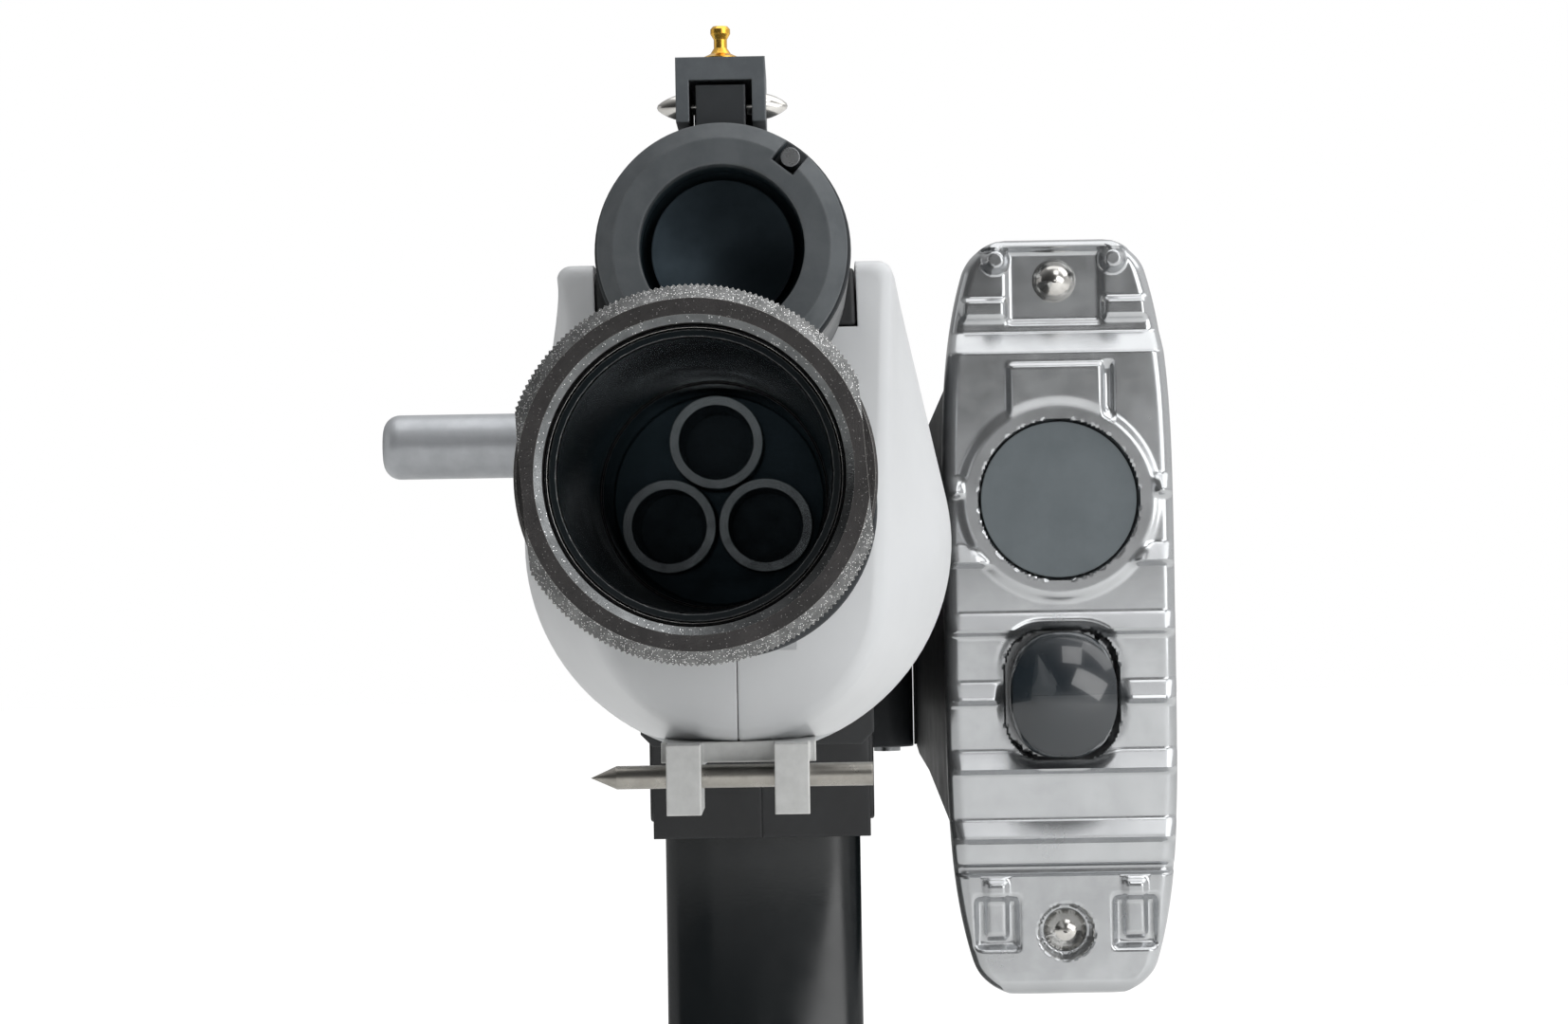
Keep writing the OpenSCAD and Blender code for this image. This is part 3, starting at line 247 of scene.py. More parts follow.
def cut_off(bm, point, out):
    """Cuts away what lies past a plane through a point, on the side of out, and closes the cut."""
    everything = list(bm.verts) + list(bm.edges) + list(bm.faces)
    bmesh.ops.bisect_plane(bm, geom=everything, plane_co=point, plane_no=out, clear_outer=True, dist=1e-8)
    bmesh.ops.holes_fill(bm, edges=[e for e in bm.edges if e.is_boundary], sides=0)


def dress(material, *names):
    """Gives CAD nodes a finish."""
    for name in names:
        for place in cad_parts[name].material_slots:
            place.material = material


def turned(bm, profile, steps=96, axis=(0, 0), closed=True):
    """Turns a profile of (radius, y) points in millimetres about an axis along Y through (x, z). One that
    isn't closed starts and ends on the axis."""
    start = [bm.verts.new((r * MM, y * MM, 0)) for r, y in profile]
    edges = [bm.edges.new((a, b)) for a, b in zip(start, start[1:] + (start[:1] if closed else []))]
    bmesh.ops.spin(bm, geom=start + edges, cent=(0, 0, 0), axis=(0, 1, 0), angle=2 * math.pi, steps=steps,
                   use_merge=True)
    verts = list({v for e in bm.edges for v in e.verts})
    bmesh.ops.remove_doubles(bm, verts=verts, dist=1e-7)
    bmesh.ops.recalc_face_normals(bm, faces=bm.faces)
    bmesh.ops.translate(bm, verts=bm.verts, vec=(axis[0] * MM, 0, axis[1] * MM))


# blackened over bead blasting: a dark, dry grey with fine bright grains
blasted_collar = finish("blasted_blackened_steel", "#4d4b4b", "#403f3f", 0.4, metallic=0.95, patch=3,
                        grain=0.13, relief=0.035, edge=0.06, worn="#c9c7c2", wear=0.5, specks="#989694",
                        speck_size=0.1, speck_part=0.08)
# the same steel with its black rubbed off: bright silver grain that sparkles where it faces the light
rubbed_collar = finish("rubbed_blasted_steel", "#787979", "#5c5d5d", 0.36, metallic=1.0, patch=1.2,
                       grain=0.12, relief=0.07, edge=0.04, worn="#f4f2ee", wear=0.9, specks="#ffffff",
                       speck_size=0.11, speck_part=0.36)
# the inner edge, worn smooth: dark steel but for the arc that mirrors the window, with a few bright grains
smooth_edge = finish("worn_smooth_steel", "#6c6e6f", "#585a5b", 0.22, metallic=1.0, patch=1.5, grain=0.12,
                     relief=0.02, edge=0.04, worn="#f4f2ee", wear=0.6, specks="#ffffff", speck_size=0.1,
                     speck_part=0.08)
collar_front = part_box("muzzle_collar")[0].y / MM
knurl_r, knurl_depth, teeth = 14.0, 0.2, 200
knurl_back = collar_front + 5
collar_mouth, smooth_to, face_to = 11.1, 11.7, 12.9     # radii of the hole, the worn inner edge and the face
collar_body_r, collar_end = 13.5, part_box("muzzle_collar")[1].y / MM
flat_reach, flat_turn = 12.6, math.radians(4.6)         # a flat on either side, a little turned
bm = bmesh.new()
turned(bm, [(smooth_to, collar_front), (12.3, collar_front), (face_to, collar_front),
            (knurl_r, collar_front + 1.05), (knurl_r, knurl_back - 0.3), (knurl_r - 0.3, knurl_back),
            (collar_mouth, knurl_back), (collar_mouth, collar_front + 0.4)], steps=2 * teeth)
for v in bm.verts:
    radius = math.hypot(v.co.x, v.co.z)
    step = round(math.atan2(v.co.z, v.co.x) / math.pi * teeth)
    if radius > (knurl_r - 0.05) * MM and step % 2:
        v.co.x *= 1 - knurl_depth / knurl_r
        v.co.z *= 1 - knurl_depth / knurl_r
        if v.co.y < (collar_front + 2) * MM:
            v.co.y -= knurl_depth * MM
for side in (1, -1):
    out = Vector((math.cos(flat_turn), 0, math.sin(flat_turn))) * side
    cut_off(bm, out * flat_reach * MM, out)
bmesh.ops.recalc_face_normals(bm, faces=bm.faces)
for face in bm.faces:
    middle = face.calc_center_median() / MM
    radius = math.hypot(middle.x, middle.z)
    if radius > face_to:
        face.material_index = 1
    elif collar_mouth + 0.02 < radius < smooth_to - 0.01:
        face.material_index = 2
knurled_ring = object_from(bm, "collar_knurled_ring", blasted_collar, 30)
knurled_ring.data.materials.append(rubbed_collar)
knurled_ring.data.materials.append(smooth_edge)
bm = bmesh.new()
turned(bm, [(collar_body_r - 0.2, knurl_back - 0.05), (collar_body_r, knurl_back + 0.15),
            (collar_body_r, collar_end - 0.4), (collar_body_r - 0.4, collar_end), (12.05, collar_end),
            (12.05, knurl_back - 0.05)], steps=128)
collar_body = object_from(bm, "collar_body", blasted_collar, 30)
for piece in (knurled_ring, collar_body):
    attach(piece, "collar")
    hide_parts("muzzle_collar")

# ----------------------------------------------------------------------------------------------------------
# Barrel and its three pellet tubes: a black barrel, glossy inside its wide front bore, with dull grey tube
# ends pressed into a holder at the back of the bore. Its tip is turned to two fine lips with a groove
# between.
# gloss black inside and out: near black, with only a soft streak of the room in it
barrel_black = finish("gloss_black_barrel", "#13191c", "#151b1e", 0.17, patch=12, grain=0.5,
                      relief=0.0006, edge=0.12, worn="#8d8f90", wear=0.8, specular=0.16)
# the turned tip: dark steel with a fine bright line on each lip
tip_steel = finish("turned_dark_steel", "#4a4d50", "#3c3f42", 0.3, metallic=1.0, patch=2, grain=0.14,
                   relief=0.012, edge=0.06, worn="#dcdad6", wear=0.9)
bm = bmesh.new()
turned(bm, [(10.1, 0.9), (10.08, 0.2), (10.2, 0.03), (10.4, 0.03), (10.52, 0.3), (10.72, 0.3), (10.84, 0.03),
            (11.02, 0.08), (11.04, 0.9)], steps=192)
barrel_lips = object_from(bm, "barrel_tip_lips", tip_steel, 30)
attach(barrel_lips, "gun")
tube_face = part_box("pellet_tubes")[0].y / MM
# bare tube ends: dull grey rings, with painted shade on the tubes' insides once past the mouth
tube_metal_painted_shade = finish("dull_grey_tube_painted_shade", "#71777a", "#666c6f", 0.2, metallic=1.0, patch=1.5, grain=0.2,
                    relief=0.003, edge=0.1, painted_shade_depth=(tube_face + 0.25, "#1c2225"))
# blackened holder: a cold near-black floor that keeps the rings apart
holder_black = finish("blackened_holder", "#222b30", "#1e272b", 0.2, metallic=1.0, patch=4, grain=0.3,
                      relief=0.002)
dress(barrel_black, "outer_barrel")
dress(tube_metal_painted_shade, "pellet_tubes")
dress(holder_black, "tube_holder")

# ----------------------------------------------------------------------------------------------------------
# Front block: a cast look-alike of a gas block round the barrel, with a blind grey plug above it, kept from
# turning by a small sprung pin. Satin black coating over metal.
# satin black coating: soft charcoal, rubbed grey along its edges
satin_black = finish("satin_black_coating", "#383b3e", "#2e3134", 0.38, metallic=0.1, patch=8, grain=0.25,
                     relief=0.012, edge=0.35, worn="#6d7073", wear=0.35)
plug_low, plug_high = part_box("gas_plug")
plug_face = plug_low.y / MM
plug_axis = (plug_low.z + plug_high.z) / 2 / MM
# matt grey coating: a flat, cool mid grey ring round the dark cup, with painted shade on the cup's wall past
# 3.2 mm
plug_grey_painted_shade = finish("matt_grey_plug_painted_shade", "#5b5f62", "#515558", 0.5, patch=4, grain=0.2, relief=0.01, edge=0.4,
                   worn="#8a8d8f", wear=0.3, painted_shade_depth=(plug_face + 3.2, "#2c373d"), specular=0.18)
# plain bright steel: clean silver pins and screws
plain_steel = finish("plain_bright_steel", "#a9abad", "#97999b", 0.3, metallic=1.0, patch=3, grain=0.2,
                     relief=0.005, edge=0.15)
# drawn spring wire: thin silver coils
spring_wire = finish("drawn_spring_wire", "#b4b5b6", "#9fa0a1", 0.28, metallic=1.0, patch=2, grain=0.15,
                     relief=0.004, edge=0.05)
# the cup's polished blue-black bottom: a cold, soft lobe of light in the middle of the dark
cup_blue = finish("polished_blue_black", "#262f35", "#20292f", 0.52, metallic=0.85, patch=6, grain=0.3,
                  relief=0.004)
dish_rim, dish_reach, dish_sink = plug_face + 6.4, 7.5, 2.2
bm = bmesh.new()
dish = [(dish_reach * i / 16, dish_rim + dish_sink * math.cos(math.pi / 2 * i / 16)) for i in range(17)]
turned(bm, dish + [(dish_reach, dish_rim + 3), (0, dish_rim + 3)], 96, (0, plug_axis), closed=False)
cup = object_from(bm, "gas_plug_cup_bottom", cup_blue, 40)
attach(cup, "gun")
dress(satin_black, "gas_block")
dress(plug_grey_painted_shade, "gas_plug")
dress(plain_steel, "gas_block_pins", "plug_detent")
dress(spring_wire, "detent_spring")

# ----------------------------------------------------------------------------------------------------------
# Front sight: a folded black saddle over the block's rib, held by two bright pointed side screws, with a
# polished brass bead on its roof.
# phosphated sheet steel: a dry, slightly blue dark grey
saddle_black = finish("dark_phosphate", "#666b6f", "#5a5f63", 0.42, metallic=0.35, patch=3, grain=0.15,
                      relief=0.01, edge=0.25, worn="#85888a", wear=0.3)
# polished screw heads: small mirror domes
bright_screw = finish("polished_screw", "#d6d4d0", "#c3c1bd", 0.16, metallic=1.0, patch=2, grain=0.2,
                      relief=0.003, edge=0.1)
# polished brass: the one warm, bright point on the sight
bead_brass = finish("polished_brass", "#f2c45e", "#e3ae45", 0.24, metallic=1.0, patch=1.5, grain=0.15,
                    relief=0.004, edge=0.08)
saddle_low, saddle_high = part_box("sight_saddle")
screw_low, screw_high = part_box("sight_screws")
bm = bmesh.new()
for side in (1, -1):
    one = bmesh.new()
    turned(one, [(0, -2.3), (0.3, -2.2), (0.65, -1.75), (1.0, -1.1), (1.25, -0.45), (1.35, 0.02), (0.85, 0.1),
                 (0.85, 3.4), (0, 3.4)], 48, closed=False)
    bmesh.ops.rotate(one, verts=one.verts, cent=(0, 0, 0),
                     matrix=Matrix.Rotation(math.radians(90 * side), 3, "Z"))
    bmesh.ops.translate(one, verts=one.verts, vec=(saddle_high.x if side > 0 else saddle_low.x,
                        (screw_low.y + screw_high.y) / 2, (screw_low.z + screw_high.z) / 2))
    part = bpy.data.meshes.new("one_screw")
    one.to_mesh(part)
    one.free()
    bm.from_mesh(part)
bmesh.ops.recalc_face_normals(bm, faces=bm.faces)
side_screws = object_from(bm, "sight_pointed_screws", bright_screw, 40)
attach(side_screws, "gun")
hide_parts("sight_screws")
# the saddle's folded back wall, which closes the two slots beside the rib
web_inset, web_below_top, web_thick = 1.45 * MM, 2.45 * MM, 0.4 * MM
web_wide = saddle_high.x - saddle_low.x - 2 * web_inset
web_top = saddle_high.z - web_below_top
bm = bmesh.new()
bmesh.ops.create_cube(bm, size=1)
bmesh.ops.scale(bm, verts=bm.verts, vec=(web_wide, web_thick, web_top - saddle_low.z))
bmesh.ops.translate(bm, verts=bm.verts, vec=(0, saddle_high.y - 0.25 * MM, (web_top + saddle_low.z) / 2))
web = object_from(bm, "sight_saddle_web", saddle_black, 30)
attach(web, "gun")
dress(saddle_black, "sight_saddle")
dress(bright_screw, "butt_screws")
dress(bead_brass, "sight_bead")

# ----------------------------------------------------------------------------------------------------------
# Upper cover: a black moulded cover that carries on behind the plug, between the ears of the fore-end, with
# thirteen low ribs across its arch. It leans with the fore-end's nose.
# fine-textured black nylon: a soft dark grey sheen with rubbed edges
moulded_black = finish("fine_textured_black_nylon", "#1f2123", "#191a1c", 0.42, patch=10, grain=0.45,
                       relief=0.03, edge=0.6, worn="#4d4f51", wear=0.25)
fore_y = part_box("fore_end_left")[0].y / MM
fore_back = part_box("fore_end_left")[1].y / MM
lean, lean_from, lean_tall = -0.75, -2.8, 32    # sideways at the nose's top, and the heights it grows over
groove_step = 9.5                               # from one finger groove or cover rib to the next


def leaned(verts):
    """The mouldings at the nose sit a little turned: their tops lean aside, fading to the back."""
    for v in verts:
        fade = 1 - (v.co.y / MM - fore_y) / (fore_back - fore_y)
        v.co.x += lean * MM * max(v.co.z / MM - lean_from, 0) / lean_tall * min(max(fade, 0), 1)


def clean_copy(name):
    """The merged mesh of a CAD node with its flat faces joined, as a bmesh."""
    bm = bmesh.new()
    bm.from_mesh(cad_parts[name].data)
    bmesh.ops.remove_doubles(bm, verts=bm.verts, dist=1e-6)
    bmesh.ops.dissolve_limit(bm, angle_limit=math.radians(0.4), verts=bm.verts, edges=bm.edges)
    bmesh.ops.dissolve_degenerate(bm, dist=0.1 * MM, edges=bm.edges)
    return bm


def soften(piece, width, segments=3, angle=28):
    """Rounds a piece's sharp edges as a mould does. Width in millimetres."""
    rounding = piece.modifiers.new("moulded_edges", "BEVEL")
    rounding.width = width * MM
    rounding.segments = segments
    rounding.limit_method = "ANGLE"
    rounding.angle_limit = math.radians(angle)
    rounding.use_clamp_overlap = True
    rounding.harden_normals = True


def soft_copy(name, body, material, width, segments=3):
    """A CAD node's own shape with its edges rounded, in its place."""
    piece = object_from(clean_copy(name), "soft_" + name, material)
    soften(piece, width, segments)
    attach(piece, body)
    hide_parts(name)
    return piece


bm = clean_copy("upper_cover")
leaned(bm.verts)
cover = object_from(bm, "soft_upper_cover", moulded_black)
soften(cover, 0.5)
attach(cover, "gun")
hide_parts("upper_cover")

cover_r = 14.4
cover_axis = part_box("upper_cover")[1].z / MM - cover_r


def arch(bm, line, y0, y1, thick):
    """A raised band over an arch: the line in (x, z) millimetres, grown outwards, from y0 to y1."""
    middle = Vector((0, sum(z for x, z in line) / len(line)))
    rings = []
    for y, grow in ((y0, -0.3), (y0 + 0.5, thick), (y1 - 0.5, thick), (y1, -0.3)):
        ring = []
        for x, z in line:
            out = (Vector((x, z)) - middle).normalized() * grow
            ring.append(bm.verts.new(((x + out.x) * MM, y * MM, (z + out.y) * MM)))
        rings.append(ring)
    rings.append([bm.verts.new((v.co.x * 0.9, v.co.y, v.co.z - 0.5 * MM)) for v in rings[-1]])
    rings.append([bm.verts.new((v.co.x * 0.9, v.co.y, v.co.z - 0.5 * MM)) for v in rings[0]])
    for near, far in zip(rings, rings[1:] + rings[:1]):
        for i in range(len(line) - 1):
            bm.faces.new((near[i], near[i + 1], far[i + 1], far[i]))
    for end in (0, -1):
        bm.faces.new([ring[end] for ring in rings])


hoop = [(cover_r * math.cos(math.radians(a)), cover_axis + cover_r * math.sin(math.radians(a)))
        for a in range(14, 167, 8)]
bm = bmesh.new()
for rib in range(13):
    rib_y = fore_y + 55 + groove_step * rib
    arch(bm, hoop, rib_y, rib_y + 5, 0.6)
bmesh.ops.recalc_face_normals(bm, faces=bm.faces)
leaned(bm.verts)
cover_ribs = object_from(bm, "upper_cover_ribs", moulded_black, 35)
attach(cover_ribs, "gun")

# ----------------------------------------------------------------------------------------------------------
# Fore-end: two halves moulded in smooth pale grey plastic, screwed together across a seam under the barrel.
# Its nose swells from a narrow front face to a full round belly with finger grooves behind, and two ears
# rise beside the upper cover.
# satin pale grey plastic: near white, with slow, soft changes of tone over its curves
pale_plastic = finish("satin_pale_grey_abs", "#d2d4d6", "#cdcfd1", 0.36, patch=25, grain=0.6, relief=0.003,
                      edge=0.4, worn="#e4e6e7", wear=0.3)


# belly radius, its centre's depth below the barrel's axis, half width at the ears: at the nose, then full
nose_r, nose_drop, ear_half = 17, 9, 19.5
belly_r, belly_drop, belly_ear = 26, 2.8, 20.3
ear_top, slot_half, slot_floor = 29.4, 15.2, 21.7
barrel_hole, seam_x, swell_len = 12.8, 0.05, 26
flat_len, flat_z = 22, -26.2                    # the nose is flat below, at the sling bracket


def fore_section(grow, inset):
    """The outer line of one half, from its slot over the ear and round to the seam, in millimetres."""
    r = nose_r + (belly_r - nose_r) * grow - inset
    drop = nose_drop + (belly_drop - nose_drop) * grow
    ear, top, corner = ear_half + (belly_ear - ear_half) * grow - inset, ear_top - inset, 1.7
    reach = math.hypot(ear, top + drop)
    touch = math.atan2(top + drop, ear) - math.acos(r / reach)
    line = [(slot_half, top), ((slot_half + ear - corner) / 2, top)]
    for i in range(7):
        a = math.radians(90 - 13 * i)
        line.append((ear - corner + corner * math.cos(a), top - corner + corner * math.sin(a)))
    first, last = Vector(line[-1]), Vector((r * math.cos(touch), r * math.sin(touch) - drop))
    line += [tuple(first.lerp(last, i / 10)) for i in range(1, 10)]
    for i in range(30):
        a = touch + (-math.pi / 2 - touch) * i / 29
        line.append((max(r * math.cos(a), 0.16), r * math.sin(a) - drop))
    return line + [(seam_x, -drop - r + 0.15)]


def fore_half(side):
    """One half: sections from the nose back, joined as loops, with the seam, barrel hole and slot inside."""
    stations = [(0.0, 1.5), (0.15, 0.95), (0.5, 0.45), (1.1, 0.12), (1.9, 0.0)]
    stations += [(1.9 + 20.1 * i / 8, 0.0) for i in range(1, 9)] + [(22.05, 0.0), (24.0, 0.0), (26.0, 0.0)]
    for groove in range(12):
        start = 54.0 + groove_step * groove
        stations += [(start, 0.0), (start + 0.7, 0.9), (start + 2.6, 0.9), (start + 3.3, 0.0)]
    stations += [(fore_back - fore_y - 0.6, 0.0), (fore_back - fore_y, 0.5)]
    bm = bmesh.new()
    loops = []
    for back, inset in stations:
        swell = math.sin(min(back / swell_len, 1) * math.pi / 2) ** 1.15
        line = fore_section(swell, inset)
        if back <= flat_len:
            line = [(x, max(z, flat_z)) for x, z in line]
        line.append((seam_x, -barrel_hole))
        line += [(barrel_hole * math.sin(math.radians(a)), -barrel_hole * math.cos(math.radians(a)))
                 for a in range(12, 169, 12)]
        line += [(seam_x, barrel_hole), (seam_x, slot_floor), (slot_half, slot_floor)]
        ring = [bm.verts.new((side * x * MM, (fore_y + back) * MM, z * MM)) for x, z in line]
        loops.append([bm.edges.new((a, b)) for a, b in zip(ring, ring[1:] + ring[:1])])
    for near, far in zip(loops, loops[1:]):
        bmesh.ops.bridge_loops(bm, edges=near + far)
    bmesh.ops.contextual_create(bm, geom=loops[0])
    bmesh.ops.contextual_create(bm, geom=loops[-1])
    bmesh.ops.triangulate(bm, faces=[f for f in bm.faces if len(f.verts) > 4])
    bmesh.ops.recalc_face_normals(bm, faces=bm.faces)
    leaned(bm.verts)
    return bm


for side, node in ((1, "fore_end_left"), (-1, "fore_end_right")):
    half = object_from(fore_half(side), node + "_moulding", pale_plastic, 40)
    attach(half, "gun")
    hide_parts(node)
# browned screw heads: small dark metal glints in the pale shell
dark_screw = finish("browned_screw", "#5d5f61", "#505254", 0.32, metallic=1.0, patch=2, grain=0.2,
                    relief=0.006, edge=0.2)
dress(dark_screw, "fore_end_screws", "receiver_screws", "stock_screws")

# ----------------------------------------------------------------------------------------------------------
# Sling loop: a folded bracket with two ears under the nose and a plain cross rod through them, satin
# nickel.
# satin nickel plate, drawn rod: a warm silver with soft long lights
satin_nickel = finish("satin_nickel", "#a5a29c", "#93908a", 0.3, metallic=1.0, patch=3, grain=0.25,
                      relief=0.008, edge=0.3)
# the same plate on the pressed bracket, duller: a pale, cool grey
dull_nickel = finish("dull_nickel_plate", "#d0d1d0", "#c2c3c2", 0.42, metallic=0.55, patch=3, grain=0.25,
                     relief=0.01, edge=0.3, worn="#e8e6e2", wear=0.4)
soft_copy("sling_bracket", "gun", dull_nickel, 0.45)
dress(satin_nickel, "sling_rod")
dress(plain_steel, "bracket_screws")

# ----------------------------------------------------------------------------------------------------------
# Receiver: two black moulded shells with a steel trunnion at the front and a pressed cover on top. The
# shells carry raised pads and bars on their sides, and the cover has seven pressed ribs.
for node in ("receiver_left", "receiver_right"):
    soft_copy(node, "gun", moulded_black, 0.5)
soft_copy("top_cover", "gun", satin_black, 0.6)
dress(satin_black, "trunnion")


def pad(bm, face, proud, y0, y1, z0, z1, corner):
    """A raised pad with round corners on a flat side face at x = face, standing out by proud. Millimetres."""
    outline = []
    for cy, cz, start in ((y1 - corner, z1 - corner, 0), (y0 + corner, z1 - corner, 90),
                          (y0 + corner, z0 + corner, 180), (y1 - corner, z0 + corner, 270)):
        for a in range(start, start + 91, 15):
            outline.append((cy, cz, math.radians(a)))
    rings = []
    for out, inset in ((-0.5, 0.0), (0.55, 0.0), (0.85, 0.12), (1.0, 0.4)):
        x = face + proud * out
        rings.append([bm.verts.new((x * MM, (cy + (corner - inset) * math.cos(a)) * MM,
                                    (cz + (corner - inset) * math.sin(a)) * MM)) for cy, cz, a in outline])
    for near, far in zip(rings, rings[1:]):
        for i in range(len(outline)):
            j = (i + 1) % len(outline)
            bm.faces.new((near[i], near[j], far[j], far[i]))
    bm.faces.new(rings[0])
    bm.faces.new(rings[-1])


recv_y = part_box("receiver_left")[0].y / MM
recv_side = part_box("receiver_left")[1].x / MM
bm = bmesh.new()
for side in (1, -1):
    for bar in range(5):
        bar_y = recv_y + 60 + 14 * bar
        pad(bm, side * recv_side, side * 0.8, bar_y, bar_y + 6, -49.5, -27, 2)
    pad(bm, side * recv_side, side * 0.7, recv_y + 13, recv_y + 37, -5, 9, 3)
    pad(bm, side * recv_side, side * 0.7, recv_y + 164, recv_y + 242, -34, -31, 1.4)
    pad(bm, side * recv_side, side * 0.7, recv_y + 70, recv_y + 120, -17, -10, 3.4)
pad(bm, recv_side, 0.7, recv_y + 48, recv_y + 244, 13, 16.5, 1.6)
bmesh.ops.recalc_face_normals(bm, faces=bm.faces)
pads = object_from(bm, "receiver_raised_pads", moulded_black, 35)
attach(pads, "gun")

roof_low, roof_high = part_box("top_cover")
roof_half, roof_top, roof_r = roof_high.x / MM, roof_high.z / MM, 8
roof_line = [(roof_half, roof_low.z / MM + 1.5), (roof_half, roof_top - roof_r - 3)]
roof_line += [(roof_half - roof_r + roof_r * math.cos(math.radians(a)),
               roof_top - roof_r + roof_r * math.sin(math.radians(a))) for a in range(0, 91, 10)]
roof_line += [(-x, z) for x, z in reversed(roof_line)]
bm = bmesh.new()
for rib in range(7):
    rib_y = recv_y + 79 + 23 * rib
    arch(bm, roof_line, rib_y, rib_y + 7, 0.7)
bmesh.ops.recalc_face_normals(bm, faces=bm.faces)
roof_ribs = object_from(bm, "top_cover_pressed_ribs", satin_black, 35)
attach(roof_ribs, "gun")

# ----------------------------------------------------------------------------------------------------------
# Rear sight: a small base on the cover, with a leaf that lifts on a steel pin. All three keep the shapes of
# their solids.
dress(satin_black, "rear_sight_base", "rear_sight_leaf")
dress(plain_steel, "rear_sight_pin")

# ----------------------------------------------------------------------------------------------------------
# Charging lever: a round satin grey handle on the right, on a carrier that slides on a rod against its
# spring.
# satin grey handle: cool mid grey, pale above and dark below, with one soft long light
lever_grey = finish("satin_grey_handle", "#b9bcc0", "#adb0b4", 0.36, metallic=0.45, patch=5, grain=0.3,
                    relief=0.008, edge=0.4, worn="#c3c4c5", wear=0.35)
dress(lever_grey, "charging_lever")
dress(satin_black, "lever_carrier")
dress(plain_steel, "spring_guide")
dress(spring_wire, "return_spring")

# ----------------------------------------------------------------------------------------------------------
# Magazine: a closed, empty curved box, straight where it enters its well, with a floor plate and a sprung
# catch.
# polished black nylon: near black, with the pale room in its curved flank
magazine_black = finish("polished_black_nylon", "#181c1e", "#14181a", 0.18, patch=14, grain=0.5, relief=0.006,
                        edge=0.8, worn="#4a4c4e", wear=0.25)
mag_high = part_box("magazine_shell")[1]
mag_half, mag_depth = mag_high.x / MM, 72
mag_front, mag_top = mag_high.y / MM - mag_depth, mag_high.z / MM
bend_z, front_radius, mag_turn = -56, 190, 24   # straight down to bend_z, then curved through mag_turn
mag_crown, mag_corner = 5.5, 2.5


def ease(a, b, v):
    """0 up to a, 1 from b on, and smooth between."""
    t = min(max((v - a) / (b - a), 0), 1)
    return t * t * (3 - 2 * t)


def magazine_line(pressed):
    """Half of a cross-section as (x, distance from the front): crowned front, three pressed grooves."""
    line = [(mag_half * math.sin(math.radians(a)), mag_crown - mag_crown * math.cos(math.radians(a)))
            for a in range(0, 91, 6)]
    for start in (13, 29, 45):
        line += [(mag_half, start), (mag_half - pressed, start + 1), (mag_half - pressed, start + 8),
                 (mag_half, start + 9)]
    line += [(mag_half - mag_corner + mag_corner * math.cos(math.radians(a)),
              mag_depth - mag_corner + mag_corner * math.sin(math.radians(a))) for a in range(0, 91, 15)]
    return line + [(0, mag_depth)]


bm = bmesh.new()
loops = []
stations = [(mag_top - 4 * i, 0, 0) for i in range(8)] + [(bend_z, 0, 0)]
stations += [(bend_z, turn, 0.9 * ease(1.0, 2.2, turn) * (1 - ease(21.2, 22.4, turn)))
             for turn in [mag_turn * i / 80 for i in range(1, 81)]]
for height, turn, pressed in stations:
    half = magazine_line(pressed)
    ring = []
    for x, back in half + [(-x, back) for x, back in half[-2:0:-1]]:
        reach = front_radius + back
        y = mag_front - front_radius + reach * math.cos(math.radians(turn))
        ring.append(bm.verts.new((x * MM, y * MM, (height - reach * math.sin(math.radians(turn))) * MM)))
    loops.append([bm.edges.new((a, b)) for a, b in zip(ring, ring[1:] + ring[:1])])
for near, far in zip(loops, loops[1:]):
    bmesh.ops.bridge_loops(bm, edges=near + far)
bmesh.ops.contextual_create(bm, geom=loops[0])
bmesh.ops.contextual_create(bm, geom=loops[-1])
bmesh.ops.recalc_face_normals(bm, faces=bm.faces)
magazine = object_from(bm, "magazine_curved_shell", magazine_black, 40)
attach(magazine, "magazine")
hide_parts("magazine_shell")
soft_copy("magazine_floor", "magazine", moulded_black, 0.6)
# satin black controls: a smoother, tighter sheen than the moulding round them
control_black = finish("satin_black_control", "#2b2d30", "#232528", 0.36, metallic=0.2, patch=5, grain=0.25,
                       relief=0.01, edge=0.4, worn="#808386", wear=0.4)
dress(control_black, "magazine_catch")
dress(plain_steel, "catch_pin")
dress(spring_wire, "catch_spring")

# ----------------------------------------------------------------------------------------------------------
# Trigger, guard, grip and safety: the trigger works only its own spring, and the grip is a moulding held by
# one long screw from its foot.
dress(control_black, "trigger", "safety_lever")
dress(plain_steel, "trigger_pin", "grip_screw")
dress(spring_wire, "trigger_spring")
soft_copy("trigger_guard", "gun", satin_black, 0.6)
# coarse-textured black nylon: dry and matt, with a grain the hand would feel
grip_black = finish("coarse_textured_black_nylon", "#202224", "#1a1c1e", 0.55, patch=8, grain=0.7,
                    relief=0.12, edge=0.8, worn="#46484a", wear=0.25)
grip_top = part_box("grip")[1].z / MM
grip_y, grip_lean, grip_len = 595, math.radians(15), 96
grip_points = 48
screw_well, well_deep, screw_hole = 6.0, 6.9, 3.1       # the sunk hole in the grip's foot


